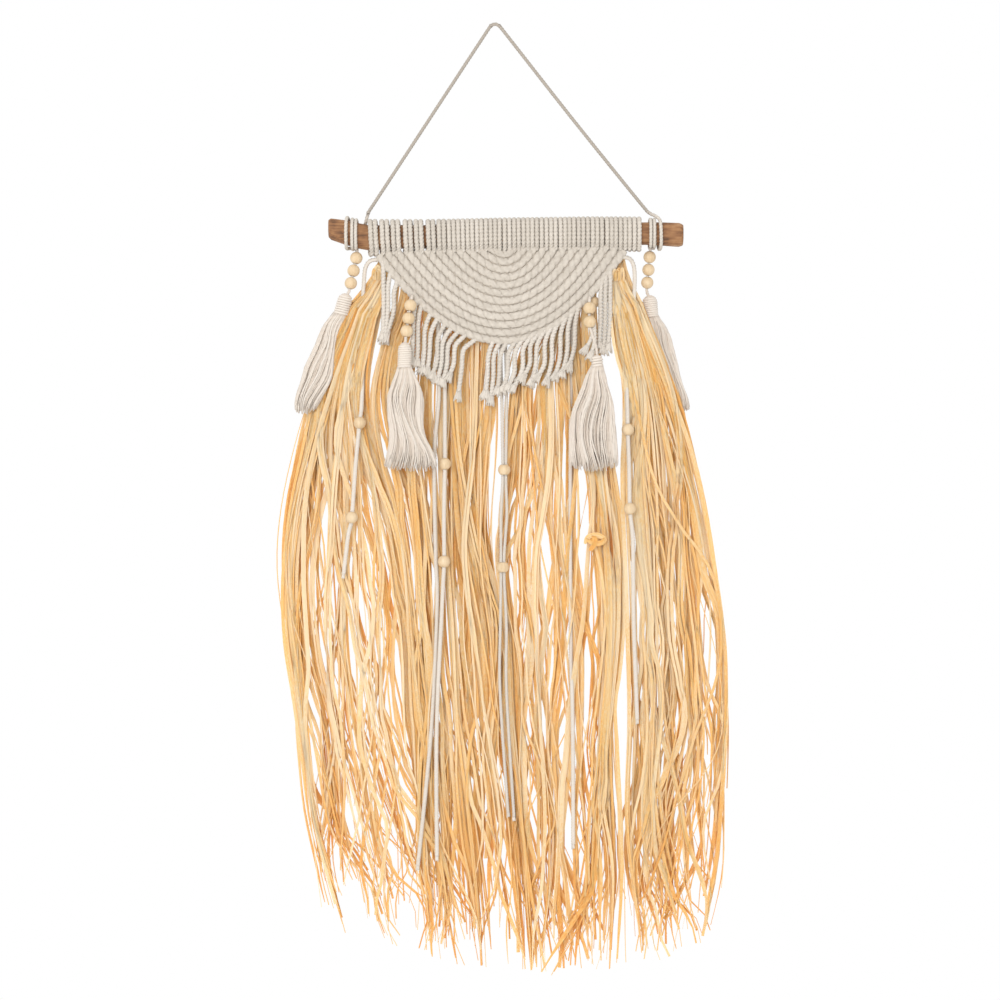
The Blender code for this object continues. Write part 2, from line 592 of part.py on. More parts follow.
def raffia_path(bunch, number, layer, i, rng):
    """One leaf of raffia, from inside its strip to its tip.

    All leaves of a bunch turn at the same heights, so neighbours stay apart between them too.
    """
    count = bunch["per_layer"]
    offset = 0.5 if layer % 2 else 0.0
    share = (i + 0.25 + 0.5 * offset) / count
    on_strip = RAFFIA_STRIP_MARGIN + (1.0 - 2.0 * RAFFIA_STRIP_MARGIN) * share
    s = bunch["arc"][0] + (bunch["arc"][1] - bunch["arc"][0]) * on_strip
    root_x, root_z = on_panel(BARS - 0.45, s)
    exit_x, exit_z = on_panel(BARS + 0.25, s)
    root_y = RAFFIA_ROOT_Y + RAFFIA_ROOT_PITCH * layer
    low_y = RAFFIA_LOW_Y + RAFFIA_LOW_PITCH * layer
    end_z = bunch["short_z"] + (bunch["long_z"] - bunch["short_z"]) * rng.random()
    if rng.random() < RAFFIA_EARLY_ENDS:
        end_z += rng.uniform(*RAFFIA_EARLY_BY)
    width = RAFFIA_WIDTH * rng.uniform(*RAFFIA_WIDTH_SHARES)
    phase = rng.uniform(0.0, 2.0 * math.pi)
    path = [
        (root_x, root_y, root_z, RAFFIA_ROOT_HALF, 0.5 * RAFFIA_THICKNESS),
        (exit_x, root_y, exit_z, RAFFIA_EXIT_HALF, 0.5 * RAFFIA_THICKNESS),
    ]
    _, top_z = on_panel(BARS + 0.25, 0.5 * (bunch["arc"][0] + bunch["arc"][1]))
    for step in range(1, RAFFIA_STEPS + 1):
        t = step / RAFFIA_STEPS
        z = end_z
        if step < RAFFIA_STEPS:
            z = top_z + (bunch["short_z"] - top_z) * (0.35 * t + 0.65 * t * t)
        left, right = bunch_edges(number, z)
        sway = RAFFIA_SWAY["share"] / count * math.sin(phase + z / RAFFIA_SWAY["length"])
        drift = RAFFIA_DRIFT["layer"] * layer + RAFFIA_DRIFT["across"] * share + z / RAFFIA_DRIFT["length"]
        sway += RAFFIA_DRIFT["share"] * math.sin(drift) * 4.0 * share * (1.0 - share)
        table_x = left + (share + sway) * (right - left)
        settle = smooth_step((exit_z - z) / RAFFIA_SETTLE_OVER)
        x = exit_x + (table_x - exit_x) * settle
        y = root_y + (low_y - root_y) * smooth_step((RAFFIA_SPREAD_FROM - z) / RAFFIA_SPREAD_OVER)
        half_width = min(0.5 * width, RAFFIA_ROOM * (right - left) / count)
        if step == RAFFIA_STEPS:
            half_width *= RAFFIA_TIP_SHARE
        path.append((x, y, z, half_width, 0.5 * RAFFIA_THICKNESS))
    return path


def build_raffia(bunch, number):
    def build(bm):
        rng = random.Random(40 + number)
        for layer in range(RAFFIA_LAYERS):
            for i in range(bunch["per_layer"]):
                ribbon(bm, raffia_path(bunch, number, layer, i, rng), FLAT_IN_FRONT)
    return build


def build_tassel_head(tassel):
    """The cord, its knot and the wrapped head, as one turned body along a bent line."""
    def build(bm):
        line, _ = threaded(tassel["cord"], tassel["beads"])
        radii = [0.5 * TASSEL_CORD_WIDTH] * len(line)
        top = Vector(tassel["head_top"])
        end = Vector(tassel["head_end"])
        for row in TASSEL_HEAD:
            line.append(top.lerp(end, row["down"]))
            radii.append(row["radius"] * tassel["head_radius"])
        unit = tube_rings(line, 1.0, TASSEL_HEAD_SIDES)
        rings = []
        for centre, radius, ring in zip(line, radii, unit):
            rings.append([centre * MM + (spot - centre * MM) * radius for spot in ring])
        loft(bm, rings)
    return build


def build_tassel_wrap(tassel):
    def build(bm):
        build_wrap(bm, tassel["wrap_x"], tassel["wrap_half"], TASSEL_WRAP)
    return build


def skirt_paths(tassel):
    """The strands of a tassel, in a front row and a back row, from inside its head to its cut end."""
    rng = random.Random(len(tassel["name"]) + int(abs(tassel["low_z"])))
    end = Vector(tassel["head_end"])
    radius = tassel["head_radius"]
    mid_span = tassel["mid_right"] - tassel["mid_left"]
    low_span = tassel["low_right"] - tassel["low_left"]
    deep = SKIRT["strand_deep"] * tassel["half_depth"]
    paths = []
    for row, count in ((-1, TASSEL_STRANDS_FRONT), (1, TASSEL_STRANDS_BACK)):
        y = tassel["y"] + row * SKIRT["row_apart"] * tassel["half_depth"]
        root_y = end[1] + row * SKIRT["root_depth"] * radius
        mid_half = min(SKIRT["mid_share"] * mid_span / count, SKIRT["mid_most"])
        low_half = min(SKIRT["low_share"] * low_span / count, SKIRT["low_most"])
        for i in range(count):
            share = (i + 0.5) / count
            root_x = end[0] + (share - 0.5) * SKIRT["root_spread"] * radius
            low_z = tassel["low_z"] + rng.uniform(*SKIRT["uneven"])
            paths.append([
                (root_x, root_y, end[2] + SKIRT["into_head"], SKIRT["root_half"], SKIRT["root_deep"]),
                (root_x, root_y, end[2] - 2.0, SKIRT["root_half"], SKIRT["root_deep"]),
                (tassel["mid_left"] + share * mid_span, y, tassel["mid_z"], mid_half, deep),
                (tassel["low_left"] + share * low_span, y, low_z, low_half, deep),
            ])
    return paths


def build_skirt(tassel):
    def build(bm):
        for path in skirt_paths(tassel):
            ribbon(bm, path, RIDGE_IN_FRONT)
    return build


def add_bead(name, place, fall, bore, look, collection):
    """A turned bead: a profile with its bore, swept round by a Screw modifier, and leaned with its cord."""
    edge = math.asin(bore / BEAD_RADIUS)
    angles = [edge + (math.pi - 2.0 * edge) * i / 4 for i in range(5)]
    mesh = bpy.data.meshes.new(name)
    bm = bmesh.new()
    turned = [bm.verts.new(point(BEAD_RADIUS * math.sin(a), 0.0, BEAD_RADIUS * math.cos(a))) for a in angles]
    for i in range(len(turned)):
        bm.edges.new((turned[i], turned[(i + 1) % len(turned)]))
    bm.to_mesh(mesh)
    bm.free()
    mesh.materials.append(look)
    bead = bpy.data.objects.new(name, mesh)
    collection.objects.link(bead)
    screw = bead.modifiers.new("Turn", "SCREW")
    screw.axis = "Z"
    screw.steps = BEAD_SIDES
    screw.render_steps = BEAD_SIDES
    screw.use_merge_vertices = True
    screw.merge_threshold = 0.00001
    screw.use_smooth_shade = True
    bead.location = place * MM
    bead.rotation_mode = "QUATERNION"
    bead.rotation_quaternion = Vector((0.0, 0.0, -1.0)).rotation_difference(fall)


def add_beads(cord_name, route, beads, look, collection):
    _, seats = threaded(route, beads)
    for number, (place, fall) in enumerate(seats, start=1):
        add_bead(f"bead_{cord_name}_{number}", place, fall, BEAD_BORE, look, collection)


def hanger_route():
    route = []
    for part in (HANGER_LEFT, HANGER_LEGS, HANGER_RIGHT):
        for spot in part:
            if isinstance(spot, dict):
                spot = (spot["x"], *stick_section(spot["x"], spot["grow"])[spot["corner"]])
            route.append(spot)
    return route


def add_hanger(look, collection):
    curve = bpy.data.curves.new("hanger_cord", "CURVE")
    curve.dimensions = "3D"
    curve.bevel_depth = 0.5 * HANGER_WIDTH * MM
    curve.bevel_resolution = 2
    curve.use_fill_caps = True
    places = along_route(hanger_route(), HANGER_SPACING)
    spline = curve.splines.new("POLY")
    spline.points.add(len(places) - 1)
    for spot, place in zip(spline.points, places):
        spot.co = (*(place * MM), 1.0)
    curve.materials.append(look)
    hanger = bpy.data.objects.new("hanger_cord", curve)
    collection.objects.link(hanger)


def main():
    for old in list(bpy.data.objects):
        bpy.data.objects.remove(old, do_unlink=True)
    hanging = bpy.data.collections.new("Macrame wall hanging")
    guides = bpy.data.collections.new("Guides")
    bpy.context.scene.collection.children.link(hanging)
    bpy.context.scene.collection.children.link(guides)

    cotton = material("Natural cotton", (0.72, 0.66, 0.58), 0.9)
    twine = material("Grey cotton twine", (0.48, 0.41, 0.34), 0.9)
    raffia = material("Raffia", (0.76, 0.46, 0.17), 0.55)
    branch = material("Peeled branch", (0.42, 0.22, 0.10), 0.7)
    beech = material("Bead wood", (0.83, 0.62, 0.36), 0.5)

    add_mesh_object("stick", build_stick, branch, hanging)
    add_hanger(twine, hanging)

    panel = add_mesh_object("macrame_panel", build_panel, cotton, hanging)
    fuse(panel, add_guide("loops", build_loops, cotton, guides))

    edge_bar = add_mesh_object("fringe_bar", build_edge_bar, cotton, hanging)
    fuse(edge_bar, add_guide("fringe_ends", build_fringe, cotton, guides))
    fuse(edge_bar, add_guide("long_cords", build_long_cords, cotton, guides))

    for number, bunch in enumerate(BUNCHES):
        strip = add_mesh_object(bunch["name"], build_strip(bunch), raffia, hanging)
        fuse(strip, add_guide(bunch["name"] + "_leaves", build_raffia(bunch, number), raffia, guides))

    for tassel in TASSELS:
        name = "tassel_" + tassel["name"]
        head = add_mesh_object(name, build_tassel_head(tassel), cotton, hanging)
        fuse(head, add_guide(name + "_skirt", build_skirt(tassel), cotton, guides))
        if tassel["wrap_x"] is not None:
            fuse(head, add_guide(name + "_wrap", build_tassel_wrap(tassel), cotton, guides))

    for tassel in TASSELS:
        add_beads(tassel["name"], tassel["cord"], tassel["beads"], beech, hanging)
    for name, cord in LONG_CORDS.items():
        add_beads(name, cord["route"], cord["beads"], beech, hanging)
    for number, place in enumerate(PAIR_BEADS, start=1):
        straight_down = Vector((0.0, 0.0, -1.0))
        add_bead(f"bead_middle_{number}", Vector(place), straight_down, WIDE_BEAD_BORE, beech, hanging)


main()
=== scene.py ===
# Macrame wall hanging: knotted cotton half round, beads, tassels and raffia on a peeled stick.
# X runs along the stick, Z is up, the front faces -Y. The origin is under the hanging cord's peak.
# Sizes in the dictionaries are millimetres. Meshes are made in metres.
import json
import math
import random

import bpy
import numpy as np
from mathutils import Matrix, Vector

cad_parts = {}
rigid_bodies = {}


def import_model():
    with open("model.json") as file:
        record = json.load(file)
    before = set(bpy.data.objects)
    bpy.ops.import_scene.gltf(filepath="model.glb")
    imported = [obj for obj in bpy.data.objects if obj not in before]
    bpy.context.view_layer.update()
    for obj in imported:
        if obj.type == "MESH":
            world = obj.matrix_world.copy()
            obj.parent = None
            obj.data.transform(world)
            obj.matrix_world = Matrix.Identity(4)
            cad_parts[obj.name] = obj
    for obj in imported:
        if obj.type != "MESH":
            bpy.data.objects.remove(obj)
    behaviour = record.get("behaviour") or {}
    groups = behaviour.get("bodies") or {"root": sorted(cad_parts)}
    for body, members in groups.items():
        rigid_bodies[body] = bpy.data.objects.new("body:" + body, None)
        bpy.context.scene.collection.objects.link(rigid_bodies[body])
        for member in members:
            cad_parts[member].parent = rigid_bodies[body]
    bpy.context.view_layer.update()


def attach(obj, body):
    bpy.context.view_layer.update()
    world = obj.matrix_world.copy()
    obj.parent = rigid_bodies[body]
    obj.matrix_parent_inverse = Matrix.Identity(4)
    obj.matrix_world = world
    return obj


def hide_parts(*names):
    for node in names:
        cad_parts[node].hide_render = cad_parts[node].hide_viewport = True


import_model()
mm = 0.001
root = "root"


# Small tools for strands.

def smoothStep(t):
    t = np.clip(t, 0.0, 1.0)
    return t * t * (3.0 - 2.0 * t)


def walkedAlong(points):
    # distance from the first point to each point
    return np.concatenate([[0.0], np.cumsum(np.linalg.norm(np.diff(points, axis=0), axis=1))])


def throughPoints(route, spacing):
    # one smooth curve through the route's points, at an even spacing
    route = [np.array(p, float) for p in route]
    dense = []
    for i in range(len(route) - 1):
        a, b, c, d = (route[min(max(i + k, 0), len(route) - 1)] for k in (-1, 0, 1, 2))
        parts = max(2, int(np.linalg.norm(c - b) / (0.4 * spacing)))
        for u in np.arange(parts) / parts:
            dense.append(0.5 * (2 * b + (c - a) * u + (2 * a - 5 * b + 4 * c - d) * u ** 2
                                + (3 * b - a - 3 * c + d) * u ** 3))
    dense.append(route[-1])
    dense = np.array(dense)
    walked = walkedAlong(dense)
    count = max(3, int(round(walked[-1] / spacing)) + 1)
    even = np.linspace(0.0, walked[-1], count)
    return np.stack([np.interp(even, walked, dense[:, k]) for k in range(3)], axis=1)


def framesAlong(points):
    # two directions across the line at each point, carried along it without turning
    along = np.gradient(points, axis=0)
    along /= np.linalg.norm(along, axis=1)[:, None] + 1e-12
    side = np.array((1.0, 0.0, 0.0))
    if abs(side @ along[0]) > 0.9:
        side = np.array((0.0, 1.0, 0.0))
    sides = []
    for direction in along:
        side = side - direction * (side @ direction)
        side = side / (np.linalg.norm(side) + 1e-12)
        sides.append(side)
    sides = np.array(sides)
    return sides, np.cross(along, sides)


def newStore():
    return {"verts": [], "faces": [], "marks": [], "count": 0}


def addRings(store, rings, shade, alongMm=None, closed=False):
    # rings is rows of points in millimetres; marks hold shade, distance along and place around
    n, m = rings.shape[:2]
    start = store["count"]
    index = start + np.arange(n * m).reshape(n, m)
    rows = index if not closed else np.vstack([index, index[:1]])
    low, high = rows[:-1], rows[1:]
    quads = np.stack([low, np.roll(low, -1, 1), np.roll(high, -1, 1), high], axis=2).reshape(-1, 4)
    store["faces"].extend(quads.tolist())
    if not closed:
        store["faces"].append(index[0][::-1].tolist())
        store["faces"].append(index[-1].tolist())
    if alongMm is None:
        alongMm = walkedAlong(rings.mean(axis=1))
    around = np.tile(np.arange(m) / m, (n, 1))
    shades = np.broadcast_to(np.reshape(shade, (-1, 1)), (n, m))
    marks = np.stack([shades, np.tile(alongMm[:, None], (1, m)), around], axis=2)
    store["verts"].append(rings.reshape(-1, 3))
    store["marks"].append(marks.reshape(-1, 3))
    store["count"] += n * m


def pieceFrom(store, name, material, node, sharpAbove=None):
    # sharpAbove is in degrees; edges that turn by more than that are drawn sharp
    mesh = bpy.data.meshes.new(name)
    verts = np.vstack(store["verts"]) * mm
    mesh.from_pydata(verts.tolist(), [], store["faces"])
    marks = np.vstack(store["marks"])
    for k, label in enumerate(("shade", "alongMm", "around")):
        attribute = mesh.attributes.new(label, "FLOAT", "POINT")
        attribute.data.foreach_set("value", marks[:, k].astype(np.float32))
    mesh.materials.append(material)
    mesh.shade_smooth()
    if sharpAbove:
        mesh.set_sharp_from_angle(angle=math.radians(sharpAbove))
    mesh.update()
    piece = bpy.data.objects.new(name, mesh)
    bpy.context.scene.collection.objects.link(piece)
    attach(piece, root)
    if node:
        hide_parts(node)
    return piece


def plyShape(count, plies, phase, depth):
    # outline of a twisted cord: so many round plies pressed together, as shares of its radius
    angles = 2.0 * np.pi * np.arange(count) / count
    span = 2.0 * np.pi / plies
    off = (angles + 0.5 * span) % span - 0.5 * span
    ply = 1.0 - depth
    reach = depth * np.cos(off) + np.sqrt(np.maximum(ply ** 2 - (depth * np.sin(off)) ** 2, 0.0))
    return np.cos(angles + phase) * reach, np.sin(angles + phase) * reach


def twistedCord(store, points, radius, lay, plies=3, corners=12, depth=0.4, shade=0.5, flat=1.0):
    # points in millimetres; lay is the length of one full turn of the plies
    sides, others = framesAlong(points)
    walked = walkedAlong(points)
    radius = np.broadcast_to(radius, (len(points),))
    rings = []
    for i, centre in enumerate(points):
        u, v = plyShape(corners, plies, 2.0 * np.pi * walked[i] / lay, depth)
        rings.append(centre + radius[i] * (u[:, None] * sides[i] + flat * v[:, None] * others[i]))
    addRings(store, np.array(rings), shade, walked)


# Materials.

def linearColour(hexColour):
    values = [int(hexColour[i:i + 2], 16) / 255.0 for i in (1, 3, 5)]
    return tuple(v / 12.92 if v <= 0.04045 else ((v + 0.055) / 1.055) ** 2.4 for v in values) + (1.0,)


def addNode(tree, kind, settings=None, links=None, values=None):
    # settings go to properties or named inputs, values to inputs by number
    node = tree.nodes.new(kind)
    for key, value in (settings or {}).items():
        if key in node.inputs:
            node.inputs[key].default_value = value
        else:
            setattr(node, key, value)
    for number, value in (values or {}).items():
        node.inputs[number].default_value = value
    for key, source in (links or {}).items():
        tree.links.new(source, node.inputs[key])
    return node


def rampColours(node, stops):
    ramp = node.color_ramp
    while len(ramp.elements) < len(stops):
        ramp.elements.new(0.5)
    for element, (place, hexColour) in zip(ramp.elements, stops):
        element.position = place
        element.color = linearColour(hexColour)
    return node.outputs["Color"]


def strandMaterial(look):
    # colour from each strand's own shade, fine streaks along it, and fibre bump
    material = bpy.data.materials.new(look["name"])
    material.use_nodes = True
    tree = material.node_tree
    shader = tree.nodes["Principled BSDF"]
    for key in ("Roughness", "IOR", "Sheen Weight", "Sheen Roughness", "Specular IOR Level",
                "Subsurface Weight", "Subsurface Scale", "Subsurface Radius"):
        if key in look:
            shader.inputs[key].default_value = look[key]
    shade, along, around = (addNode(tree, "ShaderNodeAttribute", {"attribute_name": mark}).outputs["Fac"]
                            for mark in ("shade", "alongMm", "around"))
    # across counts streaks round the strand, and the length is stretched so that they run with it
    across = addNode(tree, "ShaderNodeMath", {"operation": "MULTIPLY"}, {0: around}, {1: look["streaksAround"]})
    lengthwise = addNode(tree, "ShaderNodeMath", {"operation": "MULTIPLY"}, {0: along},
                         {1: 1.0 / look["streakLengthMm"]})
    # a different part of the pattern on each strand
    offset = addNode(tree, "ShaderNodeMath", {"operation": "MULTIPLY"}, {0: shade}, {1: 97.0})
    place = addNode(tree, "ShaderNodeCombineXYZ", None, {
        "X": across.outputs[0], "Y": lengthwise.outputs[0], "Z": offset.outputs[0]})
    streaks = addNode(tree, "ShaderNodeTexNoise", {"Scale": 1.0, "Detail": 3.0, "Roughness": 0.6},
                      {"Vector": place.outputs[0]})
    spread = addNode(tree, "ShaderNodeMath", {"operation": "MULTIPLY_ADD"}, {0: streaks.outputs["Fac"]},
                     {1: look["streakStrength"], 2: -0.5 * look["streakStrength"]})
    mixed = addNode(tree, "ShaderNodeMath", {"operation": "ADD", "use_clamp": True},
                    {0: shade, 1: spread.outputs[0]})
    ramp = addNode(tree, "ShaderNodeValToRGB", None, {"Fac": mixed.outputs[0]})
    tree.links.new(rampColours(ramp, look["colours"]), shader.inputs["Base Color"])
    fibre = addNode(tree, "ShaderNodeTexNoise", {"Scale": 1.0 / (look["fibreMm"] * mm), "Detail": 2.0},
                    {"Vector": addNode(tree, "ShaderNodeTexCoord").outputs["Object"]})
    height = addNode(tree, "ShaderNodeMath", {"operation": "ADD"},
                     {0: fibre.outputs["Fac"], 1: streaks.outputs["Fac"]})
    bump = addNode(tree, "ShaderNodeBump", {"Strength": look["bump"], "Distance": look["bumpMm"] * mm},
                   {"Height": height.outputs[0]})
    tree.links.new(bump.outputs[0], shader.inputs["Normal"])
    return material


def woodMaterial(look):
    # grain drawn out along one axis, with broader bands of colour under it
    material = bpy.data.materials.new(look["name"])
    material.use_nodes = True
    tree = material.node_tree
    shader = tree.nodes["Principled BSDF"]
    shader.inputs["Roughness"].default_value = look["Roughness"]
    shader.inputs["IOR"].default_value = look["IOR"]
    coords = addNode(tree, "ShaderNodeTexCoord")
    stretched = addNode(tree, "ShaderNodeMapping", {"Scale": look["grainPerMetre"]},
                        {"Vector": coords.outputs["Object"]})
    grain = addNode(tree, "ShaderNodeTexNoise",
                    {"Scale": 1.0, "Detail": 6.0, "Roughness": 0.65, "Distortion": 0.4},
                    {"Vector": stretched.outputs[0]})
    broad = addNode(tree, "ShaderNodeTexNoise", {"Scale": 1.0 / (look["bandMm"] * mm), "Detail": 2.0},
                    {"Vector": coords.outputs["Object"]})
    mixed = addNode(tree, "ShaderNodeMath", {"operation": "MULTIPLY_ADD"},
                    {0: broad.outputs["Fac"], 2: grain.outputs["Fac"]}, {1: look["bandStrength"]})
    lowered = addNode(tree, "ShaderNodeMath", {"operation": "SUBTRACT", "use_clamp": True},
                      {0: mixed.outputs[0]}, {1: 0.5 * look["bandStrength"]})
    ramp = addNode(tree, "ShaderNodeValToRGB", None, {"Fac": lowered.outputs[0]})
    tree.links.new(rampColours(ramp, look["colours"]), shader.inputs["Base Color"])
    bump = addNode(tree, "ShaderNodeBump", {"Strength": look["bump"], "Distance": look["bumpMm"] * mm},
                   {"Height": grain.outputs["Fac"]})
    tree.links.new(bump.outputs[0], shader.inputs["Normal"])
    return material


# Carded cotton, three plies twisted: matt and slightly hairy, so it takes soft light with no gloss.
cotton = strandMaterial({
    "name": "twistedCotton", "Roughness": 0.95, "IOR": 1.5, "Specular IOR Level": 0.2,
    "Sheen Weight": 0.15, "Sheen Roughness": 0.6,
    "colours": [(0.0, "#b5aca0"), (0.5, "#d3cabe"), (1.0, "#e3dbd1")],
    "streaksAround": 9.0, "streakLengthMm": 4.0, "streakStrength": 0.8,
    "fibreMm": 0.9, "bump": 0.6, "bumpMm": 0.35,  # real fibre is 0.02 mm, drawn coarser to show
})

# Cotton yarn combed out of the cord in tassels and cut ends: the same fibre, finer and lighter.
combedYarn = strandMaterial({
    "name": "combedCottonYarn", "Roughness": 0.95, "IOR": 1.5, "Specular IOR Level": 0.2,
    "Sheen Weight": 0.2, "Sheen Roughness": 0.6,
    "colours": [(0.0, "#cabbab"), (0.5, "#d9cdc0"), (1.0, "#e2d9ce")],
    "streaksAround": 4.0, "streakLengthMm": 18.0, "streakStrength": 0.6,
    "fibreMm": 0.4, "bump": 0.35, "bumpMm": 0.2,
})

# Greyer cotton twine, hard laid: a tight lay that shows each turn of its plies.
twine = strandMaterial({
    "name": "greyCottonTwine", "Roughness": 0.9, "IOR": 1.5, "Specular IOR Level": 0.25,
    "colours": [(0.0, "#9f968b"), (0.45, "#b5aca1"), (0.75, "#c7beb4"), (1.0, "#d8cfc3")],
    "streaksAround": 8.0, "streakLengthMm": 5.0, "streakStrength": 0.5,
    "fibreMm": 0.4, "bump": 0.4, "bumpMm": 0.2,
})

# Dried palm leaf, split by hand: smooth and waxy along its length, so it has a satin sheen.
raffia = strandMaterial({
    "name": "driedRaffiaLeaf", "Roughness": 0.55, "IOR": 1.45, "Specular IOR Level": 0.25,
    # the leaf is thin enough to glow where light comes through it
    "Subsurface Weight": 0.6, "Subsurface Scale": 0.0012, "Subsurface Radius": (1.0, 1.0, 1.0),
    "colours": [(0.0, "#d9964e"), (0.3, "#e5ac65"), (0.65, "#e8bf8a"), (1.0, "#ebcfa9")],
    "streaksAround": 13.0, "streakLengthMm": 90.0, "streakStrength": 1.2,
    "fibreMm": 1.2, "bump": 0.3, "bumpMm": 0.15,
})

# Branch with its bark peeled off: dry, matt, with long grain along the stick.
peeledBranch = woodMaterial({
    "name": "peeledBranch", "Roughness": 0.75, "IOR": 1.5,
    "grainPerMetre": (35.0, 420.0, 420.0), "bandMm": 14.0, "bandStrength": 0.75,
    "colours": [(0.25, "#5c3f2a"), (0.42, "#885e3d"), (0.58, "#a0744d"), (0.78, "#b89472")],
    "bump": 0.8, "bumpMm": 0.8,
})

# Turned beech bead, sanded and unvarnished: pale, close grain, a soft highlight.
turnedBeech = woodMaterial({
    "name": "turnedBeechBead", "Roughness": 0.5, "IOR": 1.5,
    "grainPerMetre": (420.0, 420.0, 90.0), "bandMm": 9.0, "bandStrength": 0.4,
    "colours": [(0.25, "#c9ad86"), (0.5, "#d8bf9b"), (0.8, "#e1cdae")],
    "bump": 0.12, "bumpMm": 0.15,
})
print("materials made")


# Camera, light and floor.

# lens and sensor in millimetres, the rest in metres; centre is x and z
cameraSet = {"lens": 85.0, "sensor": 36.0, "distance": 2.125, "centre": (0.0045, -0.4266)}
camera = bpy.data.objects.new("camera", bpy.data.cameras.new("camera"))
camera.data.lens = cameraSet["lens"]
camera.data.sensor_width = cameraSet["sensor"]
camera.location = (cameraSet["centre"][0], -cameraSet["distance"], cameraSet["centre"][1])
camera.rotation_euler = (math.radians(90.0), 0.0, 0.0)
bpy.context.scene.collection.objects.link(camera)
bpy.context.scene.camera = camera

studio = {"worldStrength": 1.0, "keyWatts": 20.0, "keySize": 1.0, "keyPlace": (-0.55, -2.1, 0.0),
          "keyAim": (0.0, 0.0, -0.4)}
world = bpy.data.worlds.new("whiteStudio")
world.use_nodes = True
background = world.node_tree.nodes["Background"]
background.inputs["Color"].default_value = (1.0, 1.0, 1.0, 1.0)
background.inputs["Strength"].default_value = studio["worldStrength"]
bpy.context.scene.world = world
bpy.context.scene.view_settings.view_transform = "Standard"
key = bpy.data.objects.new("softKey", bpy.data.lights.new("softKey", "AREA"))
key.data.energy = studio["keyWatts"]
key.data.size = studio["keySize"]
key.location = studio["keyPlace"]
key.rotation_euler = (Vector(studio["keyAim"]) - key.location).to_track_quat("-Z", "Y").to_euler()
bpy.context.scene.collection.objects.link(key)

floorSet = {"z": -1.25, "radius": 1.3, "corners": 64}  # metres
floorMesh = bpy.data.meshes.new("floor")
floorEdge = [(floorSet["radius"] * math.cos(a), floorSet["radius"] * math.sin(a), floorSet["z"])
             for a in np.linspace(0.0, 2.0 * math.pi, floorSet["corners"], endpoint=False)]
floorMesh.from_pydata(floorEdge, [], [list(range(floorSet["corners"]))])
floorPaint = bpy.data.materials.new("paleStudioFloor")
floorPaint.use_nodes = True
floorShader = floorPaint.node_tree.nodes["Principled BSDF"]
floorShader.inputs["Base Color"].default_value = linearColour("#f4f4f2")
floorShader.inputs["Roughness"].default_value = 0.9
floorMesh.materials.append(floorPaint)
floor = bpy.data.objects.new("floor", floorMesh)
bpy.context.scene.collection.objects.link(floor)
print("camera, light and floor set")


# The stick's shape comes first, because the cords go round it.

stick = {
    # x, height of its middle, half height, half depth
    "sections": [
        (-149.6, -182.3, 8.2, 8.4), (-147.5, -182.8, 9.9, 9.9), (-135, -186, 11.3, 11),
        (-124, -188.6, 11.8, 11.2), (-113, -190.3, 12, 11.2), (-60, -189.5, 11.1, 11),
        (9, -187.6, 10.8, 10.8), (87, -186.6, 10.8, 10.8), (135, -187, 11, 10.8),
        (166, -187.9, 11.1, 10.8), (169, -188.2, 9.6, 9.6),
    ],
    "squareness": 0.75, "corners": 36, "spacing": 1.6, "dents": 0.7,
}
stickTable = np.array(stick["sections"])


def stickAt(x, column):
    return float(np.interp(x, stickTable[:, 0], stickTable[:, column]))


def stickPoint(x, degrees, grow):
    # 0 is the back, 90 the top, 180 the front
    angle = math.radians(degrees)
    c, s = math.cos(angle), math.sin(angle)
    y = (stickAt(x, 3) + grow) * math.copysign(abs(c) ** stick["squareness"], c)
    z = (stickAt(x, 2) + grow) * math.copysign(abs(s) ** stick["squareness"], s)
    return np.array((x, y, stickAt(x, 1) + z))


def stickBottom(x):
    return stickAt(x, 1) - stickAt(x, 2)


# Hanging cord.

hanger = {
    "width": 3.4, "lay": 9.0, "spacing": 1.1, "depth": 0.36,
    "shade": 0.35, "woundShade": 0.6, "woundBelow": (-165.0, 8.0),  # it is creamier where it is wound
    # x, the stick's corner counted from the upper back over the top, and how far out
    "leftWraps": [(-131.9, 0, 2.4), (-132.3, 1, 2.4), (-132.8, 2, 2.4), (-133.3, 3, 2.4), (-133.4, 4, 2.4),
                  (-133.4, 5, 2.4), (-133, 6, 2.6), (-128.6, 7, 6.4), (-119.5, 0, 3.2), (-116.8, 1, 2.5)],
    "legs": [(-114, 5.4, -167), (-110, 4, -160.8), (-60, 1.6, -85), (-8, 0.2, -6),
             (-4.4, 0.1, -0.9), (-2.3, 0, 1), (0, 0, 1.7), (2.4, 0, 1), (4.7, 0, -1),
             (9, 0, -6.2), (70, 0, -84),
             (130, -1, -158.6), (139, -2.6, -168.6), (143.4, -3.8, -171)],
    "rightWraps": [(147.4, 2, 2.5), (148.4, 3, 2.4), (148.8, 4, 2.4), (148.6, 5, 2.4), (148, 6, 2.4),
                   (147.4, 7, 2.4), (147, 0, 2.4)],
}


def wrapPoints(wraps):
    # each wrap point is named by one of the stick's eight corners
    return [stickPoint(x, 22.5 + 45.0 * corner, grow) for x, corner, grow in wraps]


hangerRoute = wrapPoints(hanger["leftWraps"]) + hanger["legs"] + wrapPoints(hanger["rightWraps"])
hangerLine = throughPoints(hangerRoute, hanger["spacing"])
store = newStore()
wound = smoothStep((hanger["woundBelow"][0] - hangerLine[:, 2]) / hanger["woundBelow"][1])
twistedCord(store, hangerLine, 0.5 * hanger["width"], hanger["lay"], depth=hanger["depth"],
            shade=hanger["shade"] + hanger["woundShade"] * wound)
hangingCord = pieceFrom(store, "hangingCord", twine, "hanger_cord")
print("hanging cord made,", round(walkedAlong(hangerLine)[-1]), "mm")


# The stick itself, a little uneven all over.

